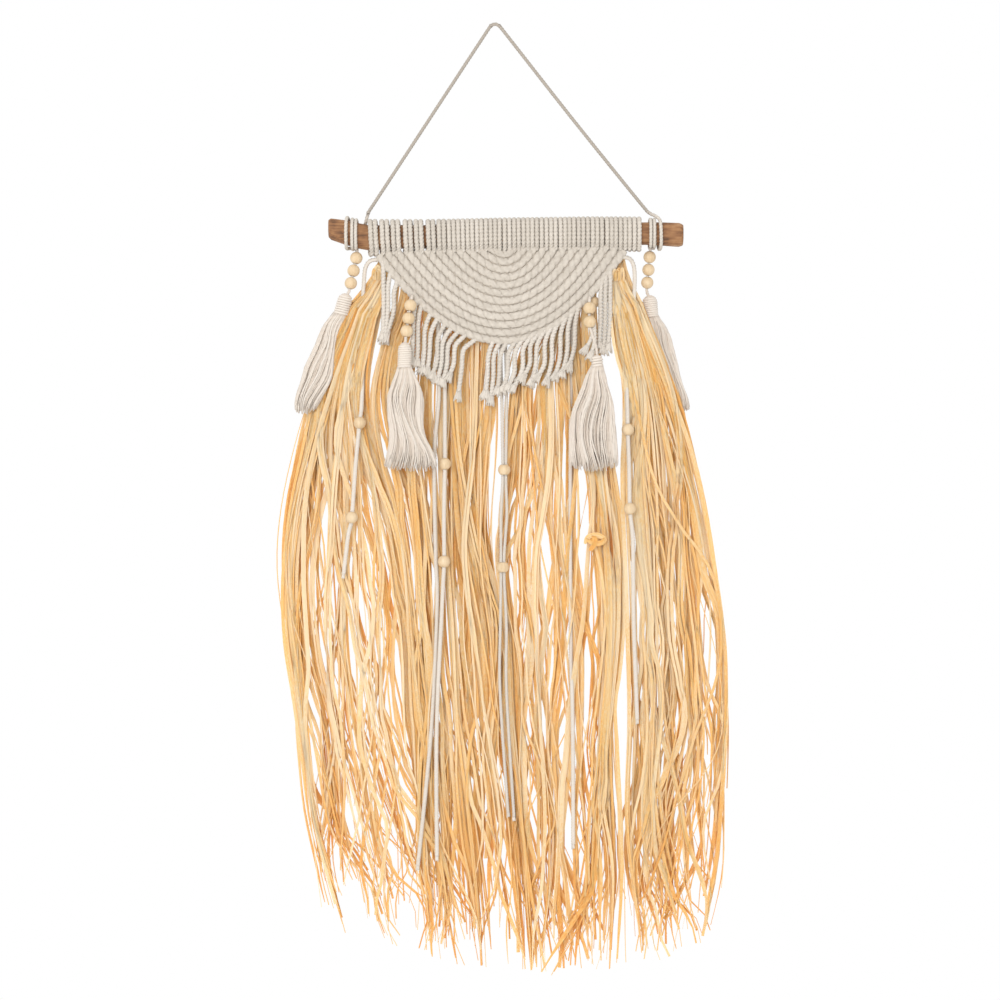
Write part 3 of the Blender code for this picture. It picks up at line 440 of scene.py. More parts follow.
def stickNoise(x, degrees):
    a = math.radians(degrees)
    return (math.sin(x / 17.0 + 2.0 * a) + 0.7 * math.sin(x / 7.3 - 3.0 * a)
            + 0.5 * math.sin(x / 31.0 + a)) / 2.2


rings = []
for x in np.concatenate([[-149.6, -148.6, -147.5], np.arange(-145.0, 166.0, stick["spacing"]), [167.4, 169.0]]):
    row = []
    for k in range(stick["corners"]):
        degrees = 360.0 * k / stick["corners"]
        row.append(stickPoint(x, degrees, stick["dents"] * (stickNoise(x, degrees) - 1.0)))
    rings.append(row)
store = newStore()
addRings(store, np.array(rings), 0.5)
pieceFrom(store, "branch", peeledBranch, "stick")
print("stick made")


# Mounting loops and knotted half round.

loops = {
    "looseX": [-109.4, -99.0, -89.1, -78.0, -68.6, -57.8, -48.0],
    "tightFrom": -39.3, "tightPitch": 8.33, "tightCount": 21,
    "strand": 4.6, "apart": 4.15, "looseBroad": 1.05, "slant": 0.9, "lay": 10.0, "spacing": 1.05,
    "unevenX": 0.3, "shades": (0.4, 0.65),
    # y and height above the stick's underside of the points in front, then angles round the stick
    "frontTail": [(-6.4, -4.5), (-8.6, -1.0)], "frontTurn": (212, 190, 165, 140, 115, 90),
    "backTurn": (65, 40, 15, -10, -35, -60), "backTail": (0.5, -3.4),
}
panel = {
    "bars": 12, "centreX": 5.4, "skew": 3.6, "innerHalfWidth": 7.2, "stepAcross": 9.15,
    "innerDepth": 2.6, "stepDown": 7.08, "belowStick": 1.2, "y": -5.2, "crest": 4.2,
    "filler": 2.0, "fillerY": 0.45, "fillerSamples": 240, "pinchSharp": 0.5,
    "hitch": 4.1, "creaseOne": 0.15, "creaseTwo": 0.3, "lean": 0.75, "turnAt": 0.1, "squareness": 0.72,
    "spacing": 0.72, "corners": 20, "overlap": 0.2, "samples": 241, "wobble": 0.12, "wobbleRate": 2.9,
    # the half round and its filler cords take a darker tone of the same cotton than the loops: painted shade for
    # the shade between the tight hitches
    "creaseSharp": 0.6, "shades": (0.24, 0.34),
}


def onPanel(bar, s):
    bow = 1.0 - s * s
    x = panel["centreX"] + (panel["innerHalfWidth"] + panel["stepAcross"] * bar) * s + panel["skew"] * bow
    z = stickBottom(x) - panel["belowStick"] - (panel["innerDepth"] + panel["stepDown"] * bar) * bow
    return x, z


def onPanelRow(bar, row):
    places = np.array([onPanel(bar, v) for v in row])
    return places[:, 0], places[:, 1]


def addBar(store, bar, reach, rng):
    # one bar: hitches side by side round a filler cord, two to a knot, so each second crease is deeper
    s = np.linspace(-reach, reach, panel["samples"])
    line = np.array([onPanel(bar + 0.5, v) for v in s])
    walked = walkedAlong(line)
    count = max(4, int(walked[-1] / panel["spacing"]))
    even = np.linspace(0.0, walked[-1], count)
    s = np.interp(even, walked, s)
    x, z = onPanelRow(bar + 0.5, s)
    tangent = np.stack([np.gradient(x), np.zeros(count), np.gradient(z)], axis=1)
    tangent /= np.linalg.norm(tangent, axis=1)[:, None]
    normal = np.stack([-tangent[:, 2], np.zeros(count), tangent[:, 0]], axis=1)
    upper, lower = onPanelRow(bar, s), onPanelRow(bar + 1.0, s)
    apart = np.abs((lower[0] - upper[0]) * normal[:, 0] + (lower[1] - upper[1]) * normal[:, 2])
    angles = -2.0 * np.pi * np.arange(panel["corners"]) / panel["corners"]
    c, d = np.cos(angles)[None, :], np.sin(angles)[None, :]
    half = (0.5 * apart + panel["overlap"])[:, None]
    leaning = np.where(s < panel["turnAt"], 1.0, -1.0)[:, None] * panel["lean"]
    knots = max(1, round(walked[-1] / (2.0 * panel["hitch"])))
    hitch = walked[-1] / (2.0 * knots)
    phase = rng.uniform(0.0, 2.0)
    place = even[:, None] / hitch + leaning * c * half / hitch + phase
    place = place + panel["wobble"] * np.sin(place * panel["wobbleRate"])
    single = 1.0 - np.abs(np.sin(np.pi * place)) ** panel["creaseSharp"]
    double = 1.0 - np.abs(np.sin(0.5 * np.pi * place)) ** panel["creaseSharp"]
    crease = 1.0 - panel["creaseOne"] * single - panel["creaseTwo"] * double
    c, d = (np.sign(v) * np.abs(v) ** panel["squareness"] for v in (c, d))
    rings = (np.stack([x, np.full(count, panel["y"]), z], axis=1)[:, None, :]
             + (half * c * (0.25 + 0.75 * crease))[:, :, None] * normal[:, None, :]
             + (panel["crest"] * d * crease)[:, :, None] * np.array((0.0, 1.0, 0.0)))
    addRings(store, rings, rng.uniform(*panel["shades"]), even)


def addFiller(store, bar, reach):
    # the cords that run from bar to bar in the groove, pinched at each knot
    x, z = onPanelRow(bar, np.linspace(-reach, reach, panel["fillerSamples"]))
    line = np.stack([x, np.full(len(x), panel["y"] + panel["fillerY"]), z], axis=1)
    walked = walkedAlong(line)
    pinch = np.abs(np.sin(np.pi * walked / (2.0 * panel["hitch"]))) ** panel["pinchSharp"]
    # the filler takes the half round's darker tone: painted shade in the groove
    twistedCord(store, line, panel["filler"] * (0.6 + 0.4 * pinch), loops["lay"], corners=8, depth=0.1,
                shade=0.3)


rng = random.Random(7)
store = newStore()
for bar in range(panel["bars"] - 1):
    addBar(store, bar, 1.0, rng)
    addFiller(store, bar + 1.0, 0.985)
pieceFrom(store, "knottedHalfRound", cotton, "macrame_panel")

store = newStore()
for x in loops["looseX"] + [loops["tightFrom"] + loops["tightPitch"] * i for i in range(loops["tightCount"])]:
    shift = rng.uniform(-loops["unevenX"], loops["unevenX"])
    broad = loops["looseBroad"] if x in loops["looseX"] else 1.0
    for side in (-0.5, 0.5):
        at = x + side * loops["apart"] * broad
        grow = 0.5 * loops["strand"] - 0.1
        lean = shift + rng.uniform(-0.15, 0.15)
        bottom = stickBottom(at)
        slant = loops["slant"] * min(max(-x / 110.0, 0.0), 1.0)  # those on the left lean
        route = [(at + lean + slant, y, bottom + up) for y, up in loops["frontTail"]]
        route += [stickPoint(at + lean * (1.0 - k / 9.0) + slant * (1.0 - k / 2.5), d, grow)
                  for k, d in enumerate(loops["frontTurn"])]
        route += [stickPoint(at - slant, d, grow) for d in loops["backTurn"]]
        route.append((at, loops["backTail"][0], bottom + loops["backTail"][1]))
        twistedCord(store, throughPoints(route, loops["spacing"]), 0.5 * broad * loops["strand"], loops["lay"],
                    shade=rng.uniform(*loops["shades"]))
pieceFrom(store, "mountingLoops", cotton, "macrame_panel")
print("loops and half round made")


# Edge bar, cut ends and long cords.

fringe = {
    "width": 4.8, "y": -6.4, "lay": 9.5, "fibres": 26, "fibre": 0.7, "fray": 10.0, "flare": 5.2,
    "spacing": 1.1, "depth": 0.42,
    "tufts": [[(88.2, -10.4, -268.0), (86.8, -11.6, -280.0), (82.6, -11.6, -289.0)],
              [(89.0, -10.2, -268.0), (89.2, -12.2, -284.0), (86.8, -12.4, -294.0)]],
    # root x, bend x, bend z, end x, end z
    "ends": [
        (-100.8, -99.9, -250, -100.4, -285), (-93, -96.2, -252, -98.6, -286.5),
        (-86.6, -91, -254, -96.8, -285), (-73, -73.4, -282, -74.4, -308),
        (-68.4, -69.2, -284, -69.9, -309.5), (-59.6, -63.4, -290, -65, -315),
        (-53.4, -58.2, -292, -60.4, -317), (-46.2, -52, -297, -55.8, -321),
        (-40.6, -47.6, -300, -51, -325), (-34.2, -42.8, -301, -46.2, -326),
        (-28, -36.6, -300, -40.6, -322), (-17.6, -29.6, -304, -32.6, -337.5),
        (-3.8, -6.4, -312, -8.2, -337), (2.6, -1.6, -312, -3.4, -341),
        (9, 4.4, -310, 2.6, -334), (17.4, 11.2, -310, 7.6, -333),
        (23.4, 17.2, -308, 12.6, -331.5), (30, 24.4, -305, 17.8, -332),
        (36, 31, -300, 26.2, -322.5), (43.2, 37, -302, 33.6, -325.5),
        (49.8, 44.2, -300, 39.4, -322), (56.6, 50.6, -298, 47.2, -325),
        (62.6, 58.4, -294, 54.6, -321), (68.2, 65, -290, 60.8, -319),
        (74, 71.6, -286, 67.2, -312), (96.2, 94.6, -262, 93.4, -293),
        (100, 98.9, -262, 97.6, -297), (103.4, 103.3, -262, 101.6, -294),
    ],
}
bead = {"radius": 5.6, "reach": 5.9, "bore": 2.15, "wideBore": 3.3, "rim": 0.35, "rings": 15, "turns": 28}
longCords = {
    "left": {"width": 3, "radius": 2.05, "beads": (8, 10), "route": [
        (-102.5, -5.2, -211), (-111.6, -4.2, -211.6), (-116.4, -3.2, -218), (-117.8, -2.5, -230),
        (-118.8, -2.5, -250), (-119, -2.5, -290), (-119.2, -3.4, -325), (-119.9, -5.6, -345),
        (-121.4, -6.2, -357.4), (-125, -6.4, -395), (-128.6, -6.2, -442.3), (-131.7, -5.8, -458.3),
        (-135.9, -5.2, -493)]},
    "mid_left": {"width": 3, "radius": 2.05, "beads": (4, 6), "route": [
        (-45, -5, -267), (-45.2, -2.5, -276), (-45, -2.4, -330), (-45, -5.8, -372),
        (-45, -6.2, -394.2), (-45.8, -6.4, -440), (-45.7, -6.2, -481.8), (-47.6, -5.2, -523.8),
        (-52.4, -4.6, -632.7), (-52.2, -3.6, -746.6)]},
    "mid_left_bare": {"width": 3, "radius": 2.05, "beads": (), "route": [
        (-50.5, -5, -262.5), (-51.2, -2.5, -273), (-50.4, -2.4, -327.6), (-51.8, -2.3, -351),
        (-54.3, -2.3, -381.6), (-54.3, -2.3, -430), (-53.1, -2.2, -481), (-52, -2.1, -523.8),
        (-57.2, -2, -632.7), (-69.3, -2, -755.1)]},
    "middle_a": {"width": 2.5, "radius": 1.6, "beads": (), "route": [
        (5.4, -5, -282), (5.2, -2.5, -291), (6.2, -2.4, -336), (6.6, -5.8, -372),
        (6.9, -6.2, -388), (6.9, -6.2, -411), (5.4, -6.2, -440), (5.4, -6.2, -475),
        (5.4, -6.2, -499), (4.8, -5.6, -540), (4.6, -5, -600), (11.7, -3.2, -707.4)]},
    "middle_b": {"width": 2.5, "radius": 1.6, "beads": (), "route": [
        (10.4, -5, -282), (9.6, -2.5, -291), (10.4, -2.4, -336), (10.1, -5.8, -372),
        (9.8, -6.2, -388), (9.8, -6.2, -411), (10.6, -6.2, -440), (8.3, -6.2, -475),
        (8.3, -6.2, -499), (10.2, -5.6, -540), (10.4, -5, -600), (17.1, -3.2, -711)]},
    "tail": {"width": 3, "radius": 2.05, "beads": (), "route": [
        (69, -5, -262), (69, 0.5, -275), (68.6, 6, -330), (68, 7, -450),
        (68.4, 5, -560), (69.6, -1.6, -612), (70.2, -2, -680), (70.4, -1.8, -736)]},
    "right": {"width": 3, "radius": 2.05, "beads": (8, 10), "route": [
        (111.8, -5.2, -208.5), (120.4, -4.4, -209.6), (124.6, -3.2, -216), (125.6, -2.5, -228),
        (124.6, -2.5, -250), (120.8, -2.5, -284), (118.6, -3.4, -320), (118.9, -5.6, -346),
        (119.2, -6.2, -363.4), (120.4, -6.4, -400), (121.2, -6.2, -434.4), (123.8, -5.8, -466.2),
        (124.6, -5.2, -537.3), (127.8, -4, -623.7)]},
}


def threaded(route, beads):
    # straight through each bead; gives the line's points and each bead's direction
    places = [np.array(p, float) for p in route]
    points, falls = [], []
    for i, place in enumerate(places):
        if i not in beads:
            points.append(place)
            continue
        fall = places[i + 1] - places[i - 1]
        fall /= np.linalg.norm(fall)
        if i - 1 in beads:
            points[-1] = 0.5 * (points[-1] + place - fall * bead["reach"])
        else:
            points.append(place - fall * bead["reach"])
        points.append(place + fall * bead["reach"])
        falls.append(fall)
    return points, falls


def arcPlace(x):
    low, high = -1.0, 1.0
    for _ in range(30):
        middle = 0.5 * (low + high)
        low, high = (middle, high) if onPanel(panel["bars"] - 0.5, middle)[0] < x else (low, middle)
    return low


def frayedEnd(store, line, place, width, rng, count, length, flare, thin, back=4):
    # a soft core and loose fibres round it that spread from the end of a cord
    direction = line[-1] - line[-back]
    direction = direction / np.linalg.norm(direction)
    across = np.cross(direction, (0.0, 1.0, 0.0))
    across /= np.linalg.norm(across) + 1e-9
    neck = 0.42 * width
    steps = (0.0, 0.25, 0.5, 0.7)
    core = np.array([place + direction * (length * t - 1.0) for t in steps])
    twistedCord(store, core, np.interp(steps, (0.0, 1.0), (neck, 0.95 * flare)), 80.0, plies=5, corners=10,
                depth=0.12, shade=0.65, flat=0.6)
    for _ in range(count):
        angle = rng.uniform(0.0, 2.0 * math.pi)
        out = rng.uniform(0.75, 1.0)
        a, b = out * math.cos(angle), out * math.sin(angle)
        reach = length * rng.uniform(0.75, 1.05)
        fibre = []
        for t in (0.0, 0.3, 0.6, 0.85, 1.0):
            spread = neck + (flare - neck) * t ** 1.3
            fibre.append(place + direction * (reach * t - 2.0) + across * a * spread
                         + np.array((0.0, 1.0, 0.0)) * b * 0.6 * spread)
        twistedCord(store, np.array(fibre), thin * np.array((1.0, 1.0, 0.95, 0.8, 0.45)), 40.0, corners=4,
                    depth=0.05, shade=rng.uniform(0.45, 0.85))


store = newStore()
addBar(store, panel["bars"] - 1, 0.978, rng)
for rootX, bendX, bendZ, endX, endZ in fringe["ends"]:
    x, z = onPanel(panel["bars"] - 0.5, arcPlace(rootX + (3.2 if -80.0 < endX < 80.0 else 0.0)))
    cut = np.array((endX, fringe["y"], endZ + fringe["fray"] - 2.0))
    tied = abs(endX) > 90.0 or endX < -85.0  # the ends at both sides hang together
    bow = 0.0 if tied else rng.uniform(-0.8, 1.2)
    forward = rng.uniform(0.8, 2.0)
    route = [(x, panel["y"] - 0.4, z), (x + 0.42 * (bendX - x), fringe["y"] - forward, z - 4.5),
             (x + 0.92 * (bendX - x), fringe["y"] - 0.7 * forward, 0.5 * z + 0.5 * bendZ),
             (bendX - 0.5 * bow, fringe["y"], bendZ - 4.0), cut]
    line = throughPoints(route, fringe["spacing"])
    twistedCord(store, line, 0.5 * fringe["width"], fringe["lay"], depth=fringe["depth"],
                shade=rng.uniform(0.5, 0.8))
    frayedEnd(store, line, cut, fringe["width"], rng, fringe["fibres"],
              fringe["fray"] * rng.uniform(0.85, 1.15), fringe["flare"] * rng.uniform(0.8, 1.15), fringe["fibre"])
for route in fringe["tufts"]:  # short ends of the cord that the inner right tassel hangs on
    line = throughPoints(route, fringe["spacing"])
    twistedCord(store, line, 0.42 * fringe["width"], fringe["lay"], depth=fringe["depth"], shade=0.7)
    frayedEnd(store, line, line[-1], 3.6, rng, 30, 11.0, 4.6, 0.6)
for cord in longCords.values():
    points, _ = threaded(cord["route"], cord["beads"])
    line = throughPoints(points, 0.85)
    twistedCord(store, line, cord["radius"], 7.5, corners=9, depth=fringe["depth"],
                shade=rng.uniform(0.5, 0.62))
    frayedEnd(store, line, line[-1], cord["width"], rng, 7, 7.0, 1.8, 0.35, back=5)
pieceFrom(store, "edgeBarAndCords", cotton, "fringe_bar")
print("edge bar, cut ends and long cords made")


# Beads.

def makeBead(name, node, place, fall, bore):
    edge = math.asin(bore / bead["radius"])
    profile = [(bead["radius"] * math.sin(a), bead["radius"] * math.cos(a))
               for a in np.linspace(edge, math.pi - edge, bead["rings"])]
    # the edge of the bore is softened
    profile = [(bore, profile[0][1] - bead["rim"])] + profile + [(bore, profile[-1][1] + bead["rim"])]
    axis = -np.array(fall, float)
    side = np.cross(axis, (0.0, 1.0, 0.0))
    side /= np.linalg.norm(side)
    other = np.cross(axis, side)
    rings = []
    for k in range(bead["turns"]):
        a = 2.0 * math.pi * k / bead["turns"]
        rings.append([place + (side * math.cos(a) + other * math.sin(a)) * r + axis * h for r, h in profile])
    store = newStore()
    addRings(store, np.array(rings), 0.5, closed=True)
    pieceFrom(store, name, turnedBeech, node)


tassels = {
    "outer_left": {
        "wrapX": -126.4, "beads": (1, 2, 3), "y": -6.2, "halfDepth": 4.4,
        "cord": [(-124.2, -2.6, -201.6), (-124.6, -3.2, -209.2), (-127, -4.3, -220.6),
                 (-129.4, -5.4, -232), (-131.2, -6, -239.6)],
        "headTop": (-133, -6.2, -241.5), "headEnd": (-138.8, -6.2, -261), "headRadius": 6.2,
        "mid": (-170, -147, -308), "low": (-178.6, -160.8, -348), "sway": 3.6},
    "outer_right": {
        "wrapX": 141.3, "beads": (1, 2, 3), "y": 11.6, "halfDepth": 4.2,
        "cord": [(140.2, 2.6, -200), (139.4, 3.4, -207.6), (138.4, 4.8, -219),
                 (137.4, 6.2, -230.4), (137.4, 8.2, -239)],
        "headTop": (139.6, 10.6, -241.5), "headEnd": (141.2, 11.4, -262), "headRadius": 6.4,
        "mid": (143, 167, -306), "low": (148.5, 174.4, -347), "sway": 3.6},
    "inner_left": {
        "wrapX": None, "beads": (1, 2, 3), "y": -12.4, "halfDepth": 3.8,
        "cord": [(-74, -10, -243.6), (-75.6, -14, -252.8), (-77.3, -14.3, -264.2),
                 (-79, -14.4, -275.6), (-79.9, -14.4, -283.4)],
        "headTop": (-80.4, -14.2, -285.6), "headEnd": (-81, -14, -309), "headRadius": 5.8,
        "mid": (-95.6, -62.8, -355), "low": (-98.4, -53.2, -399.5), "sway": 5.4},
    "inner_right": {
        "wrapX": None, "beads": (1, 2), "y": -12.4, "halfDepth": 3.8,
        "cord": [(84.9, -9.7, -245), (84.5, -13.4, -255.2), (84.7, -13.6, -267.2),
                 (86.2, -13.2, -276), (90.4, -12.6, -290)],
        "headTop": (91.2, -12.4, -297), "headEnd": (91.6, -12.2, -308), "headRadius": 4.7,
        "mid": (70.4, 104, -348), "low": (66.6, 112.2, -399.5), "sway": 3.8},
}
strung = [(name, cord["route"], cord["beads"]) for name, cord in longCords.items()]
strung += [(name, tassel["cord"], tassel["beads"]) for name, tassel in tassels.items()]
for name, route, beads in strung:
    _, falls = threaded(route, beads)
    for number, (i, fall) in enumerate(zip(beads, falls), start=1):
        makeBead(f"bead_{name}_{number}_turned", f"bead_{name}_{number}", np.array(route[i]), fall,
                 bead["bore"])
# two more, each on both of the middle cords
for number, place in enumerate([(8.35, -6.2, -399.5), (6.85, -6.2, -487.0)], start=1):
    makeBead(f"bead_middle_{number}_turned", f"bead_middle_{number}", np.array(place), (0.0, 0.0, -1.0),
             bead["wideBore"])
# one more, half hidden behind the bar where the inner right cord leaves it
makeBead("bead_behind_bar_turned", None, np.array((88.6, -0.6, -248.6)), (0.0, 0.0, -1.0), bead["bore"])
print("beads made")


# Tassels.

tasselLook = {
    "cord": 3.0, "yarns": 235, "yarn": 0.82, "rings": 18, "windPitch": 1.9, "windThick": 1.1, "windSteps": 18,
    "waveLength": 88.0, "uneven": 7.0, "locks": 4.5, "lockDepth": 2.2, "swell": 0.62, "looseBelow": 28.0,
    # how far down the head, as a share, and how wide there, as a share of its radius
    "core": [(0.0, 0.3), (0.06, 0.66), (0.16, 0.86), (0.3, 0.9), (0.6, 0.86), (0.9, 0.86), (1.0, 0.8)],
    "dome": [(0.14, 0.74), (0.2, 0.86), (0.32, 0.93), (0.9, 0.93), (1.0, 0.86)], "wound": (0.14, 0.84),
    "wrapApart": 1.65, "wrapRadius": 1.72,
}


def addHead(store, top, end, radius):
    # a soft core with cord wound round it
    coreAt, coreWide = np.array(tasselLook["core"]).T
    twistedCord(store, top + (end - top) * coreAt[:, None], radius * coreWide, 60.0, plies=6, corners=18,
                depth=0.08, shade=0.45)
    length = np.linalg.norm(end - top)
    axis = (end - top) / length
    side = np.cross(axis, (0.0, 1.0, 0.0))
    side /= np.linalg.norm(side)
    other = np.cross(axis, side)
    first, share = tasselLook["wound"]
    winds = int(share * length / tasselLook["windPitch"])
    angles = np.linspace(0.0, 2.0 * np.pi * winds, tasselLook["windSteps"] * winds)
    down = first * length + share * length * angles / angles[-1]
    dome = np.interp(down / length, *np.array(tasselLook["dome"]).T)
    wound = np.array([top + axis * d + (side * math.cos(a) + other * math.sin(a)) * radius * r
                      for a, d, r in zip(angles, down, dome)])
    twistedCord(store, wound, tasselLook["windThick"], 60.0, corners=7, depth=0.05, shade=0.8)


def addSkirt(store, tassel, end, rng):
    # combed yarn in broad locks with folds between, lying in waves that neighbours share
    (midLeft, midRight, midZ), (lowLeft, lowRight, lowZ) = tassel["mid"], tassel["low"]
    radius = tassel["headRadius"]
    wave, waveLength = rng.uniform(0.0, 6.28), tasselLook["waveLength"] * rng.uniform(0.9, 1.2)
    t = np.linspace(0.0, 1.0, tasselLook["rings"])
    sizes = tasselLook["yarn"] * np.interp(t, (0.0, 0.8, 1.0), (1.0, 1.0, 0.5))
    for yarn in range(tasselLook["yarns"]):
        share = (yarn + rng.uniform(0.0, 1.0)) / tasselLook["yarns"]
        share = 0.5 - 0.5 * math.cos(math.pi * share) if yarn % 2 else share
        off = 2.0 * share - 1.0
        deep = rng.uniform(-1.0, 1.0) * math.sqrt(max(1.0 - off ** 2, 0.05))
        startX = end[0] + 0.9 * off * radius
        startY = end[1] + 0.75 * deep * radius
        midX = midLeft + share * (midRight - midLeft)
        lowX = lowLeft + share * (lowRight - lowLeft)
        tip = lowZ + rng.uniform(-0.3, 1.0) * tasselLook["uneven"] + 5.0 * abs(off) ** 3
        z = end[2] + 3.0 + (tip - end[2] - 3.0) * t
        swell = np.clip((end[2] - z) / (end[2] - midZ), 0.0, 1.0) ** tasselLook["swell"]
        x = startX + (midX - startX) * swell + (lowX - midX) * smoothStep((midZ - z) / (midZ - lowZ))
        y = startY + (tassel["y"] + deep * tassel["halfDepth"] - startY) * swell
        loose = smoothStep((end[2] - z) / tasselLook["looseBelow"])
        bend = tassel["sway"] * np.sin(wave + 2.4 * share + 0.9 * deep + z * 6.28 / waveLength)
        x += loose * ((1.0 - 0.5 * off ** 2) * bend + rng.uniform(-0.8, 0.8) * np.sin(z / 9.0 + yarn))
        ridge = 0.5 + 0.5 * math.sin(2.0 * math.pi * tasselLook["locks"] * share + 1.2 * deep)
        y += loose * (0.7 * np.cos(wave + 2.6 * share + z * 6.28 / waveLength)
                      + tasselLook["lockDepth"] * (0.5 - ridge))
        # yarn sunk in the folds between the locks is coloured darker: painted shade in the folds
        shade = min(max(0.35 + 0.4 * ridge + rng.uniform(-0.15, 0.15), 0.0), 1.0)
        twistedCord(store, np.stack([x, y, z], axis=1), sizes, 60.0, corners=5, depth=0.05, shade=shade)


def makeTassel(name, tassel):
    store = newStore()
    line, _ = threaded(tassel["cord"], tassel["beads"])
    top, end = np.array(tassel["headTop"]), np.array(tassel["headEnd"])
    twistedCord(store, throughPoints(line + [top + (end - top) * 0.2], 1.0), 0.5 * tasselLook["cord"], 9.0,
                corners=9, shade=0.6)
    addHead(store, top, end, tassel["headRadius"])
    addSkirt(store, tassel, end, random.Random(len(name) * 31 + 5))
    pieceFrom(store, "tassel_" + name + "_combed", combedYarn, "tassel_" + name)
    if tassel["wrapX"] is None:
        return
    store = newStore()
    for side in (-1.0, 1.0):  # the two cords that hang it on the stick
        x = tassel["wrapX"] + side * tasselLook["wrapApart"]
        route = [stickPoint(x, d, 1.75) for d in np.arange(250.0, -100.0, -22.0)]
        twistedCord(store, throughPoints(route, 1.0), tasselLook["wrapRadius"], 9.0, corners=9, shade=0.6)
    pieceFrom(store, "tassel_" + name + "_wrap", cotton, "tassel_" + name)


for name, tassel in tassels.items():
    makeTassel(name, tassel)
print("tassels made")


# Raffia.

raffiaSet = {
    "seed": 140, "ring": 13.5, "thick": 0.28, "fold": 0.16,
    "rootDepth": 6.0, "lowY": 0.6, "lowDepth": 11.5, "backFrom": (-290.0, 120.0),
    "widths": [(0.3, 0.9, 2.0), (0.48, 2.2, 3.8), (0.22, 4.0, 5.8)],  # share of the leaves, from, to
    "outerNarrower": 0.84, "outerRise": 34.0, "shorter": (0.1, 40.0, 170.0),
    "bends": {"apart": (60.0, 170.0), "asideTop": 3.6, "asideLow": 12.5},  # how far apart, how far off
    "sway": (5.0, 310.0), "brokenTips": 0.25, "twisted": 0.22, "leanLow": 0.13, "leanFrom": -620.0,
    "together": (0, 0, 1, 1, 2), "threads": 0.3,
    "holdFrom": 0.75, "give": 0.25, "strays": 0.16, "strayGive": 0.42,
    "slits": {"count": 95, "halfWidth": (1.5, 3.4), "halfHeight": (22.0, 62.0)},  # how far, and about how long
    "crossing": 0.3, "overCord": {"z": -285.0, "reach": 75.0, "y": -7.4},
    # name, arc from, arc to, leaves, shortest z, longest z
    "bunches": [
        ("raffia_left", -0.965, -0.862, 90, -766, -840),
        ("raffia_mid_left", -0.86, -0.47, 43, -804, -848),
        ("raffia_middle", -0.46, -0.03, 48, -810, -852),
        ("raffia_mid_right", 0.07, 0.80, 87, -810, -852),
        ("raffia_right", 0.852, 0.965, 92, -784, -845),
    ],
    "folds": {"raffia_left": [(-103.5, -216)], "raffia_right": [(110.5, -217.5)]},
    "knots": {"raffia_mid_right": [(90.2, -2.4, -463)]},
    "knotFolds": [
        [(-9.5, 0, -3), (-6, 1.4, 3.4), (2, 2.2, 4.8), (8.2, 1.2, 1), (5.6, 0.4, -3.6)],
        [(-8.2, 0.4, 2.2), (-1, 2, -2.6), (6.4, 1.6, -1.6), (9.4, 0, 3.4)],
        [(-2.6, 0, 5.6), (-0.4, 2.4, 0.6), (-2, 1.6, -5), (-5.4, 0.2, -8.6)],
    ],
    # middle x and z, half width and half height of each gap between leaves
    "partings": [
        (-77.5, -470, 4.6, 70), (-37, -560, 5.4, 95), (-2, -420, 5, 75),
        (15.5, -588, 3.2, 45), (103.5, -325, 6, 32), (115.5, -560, 6.5, 175),
        (197, -568, 7, 75), (-166, -665, 8, 95), (-128, -795, 9, 40),
        (-78, -795, 11, 32), (124, -815, 8, 35), (170, -815, 8, 30),
        (115, -690, 8, 90), (-15, -690, 3, 40), (60, -640, 2.6, 45), (150, -500, 2.4, 60),
        (-140, -470, 2.4, 60), (30, -480, 2.2, 50),
    ],
    # z, then left and right of each bunch
    "edges": [
        (-224, -115.2, -99.9, -92.7, -47.2, -46, 1, 9.3, 88, 104.4, 119.7),
        (-265, -134, -103.5, -92.7, -48.3, -46.2, 1, 9.3, 90, 104.6, 135),
        (-300, -155, -116, -108, -49.3, -45.8, 0.6, 10.4, 92.5, 113.5, 151),
        (-311, -160, -121.4, -113.8, -50.6, -46, 0.9, 11, 94, 119.8, 156),
        (-337, -165, -125.5, -115.8, -52.2, -47.7, 1.8, 9.9, 96.3, 120.8, 166),
        (-400, -180.5, -101, -98.5, -50.8, -47.7, -2.7, 6.3, 106.5, 115.2, 181.5),
        (-472, -191, -82.6, -78.2, -46.2, -43.2, -9.6, -0.9, 110.7, 119.7, 194),
        (-553, -184, -78.6, -74.8, -39.8, -36.9, 10.4, 14.8, 109.8, 122.4, 206),
        (-634, -171, -70.6, -72, -38.2, -32.4, 12.6, 16.2, 98.1, 125.1, 206),
        (-715, -161, -57, -66, -24.6, -20.7, 22.2, 25.4, 104.4, 118.8, 201),
        (-787, -143, -46, -58.6, -19.2, -13.5, 27.6, 31.2, 105, 130.5, 196),
        (-842, -122, -40, -53, -14, -8.1, 31.4, 36.6, 99.8, 137, 176),
    ],
}
edgeTable = np.array(raffiaSet["edges"])[::-1]


def bunchEdge(number, z, side):
    # eased over 60 mm, so that no leaf kinks where the table has a row
    around = np.linspace(-60.0, 60.0, 9)
    values = np.interp(np.asarray(z)[:, None] + around, edgeTable[:, 0], edgeTable[:, 1 + 2 * number + side])
    weights = 1.0 - np.abs(around) / 75.0
    return (values * weights).sum(axis=1) / weights.sum()


def smallSlits():
    # narrow slits between leaves, spread all over
    rng = random.Random(31)
    slits = []
    for _ in range(raffiaSet["slits"]["count"]):
        z = rng.uniform(-800.0, -380.0)
        left, right = bunchEdge(0, [z], 0)[0] + 12.0, bunchEdge(4, [z], 1)[0] - 12.0
        slits.append((rng.uniform(left, right), z, rng.uniform(*raffiaSet["slits"]["halfWidth"]),
                      rng.uniform(*raffiaSet["slits"]["halfHeight"])))
    return slits


allPartings = raffiaSet["partings"] + smallSlits()


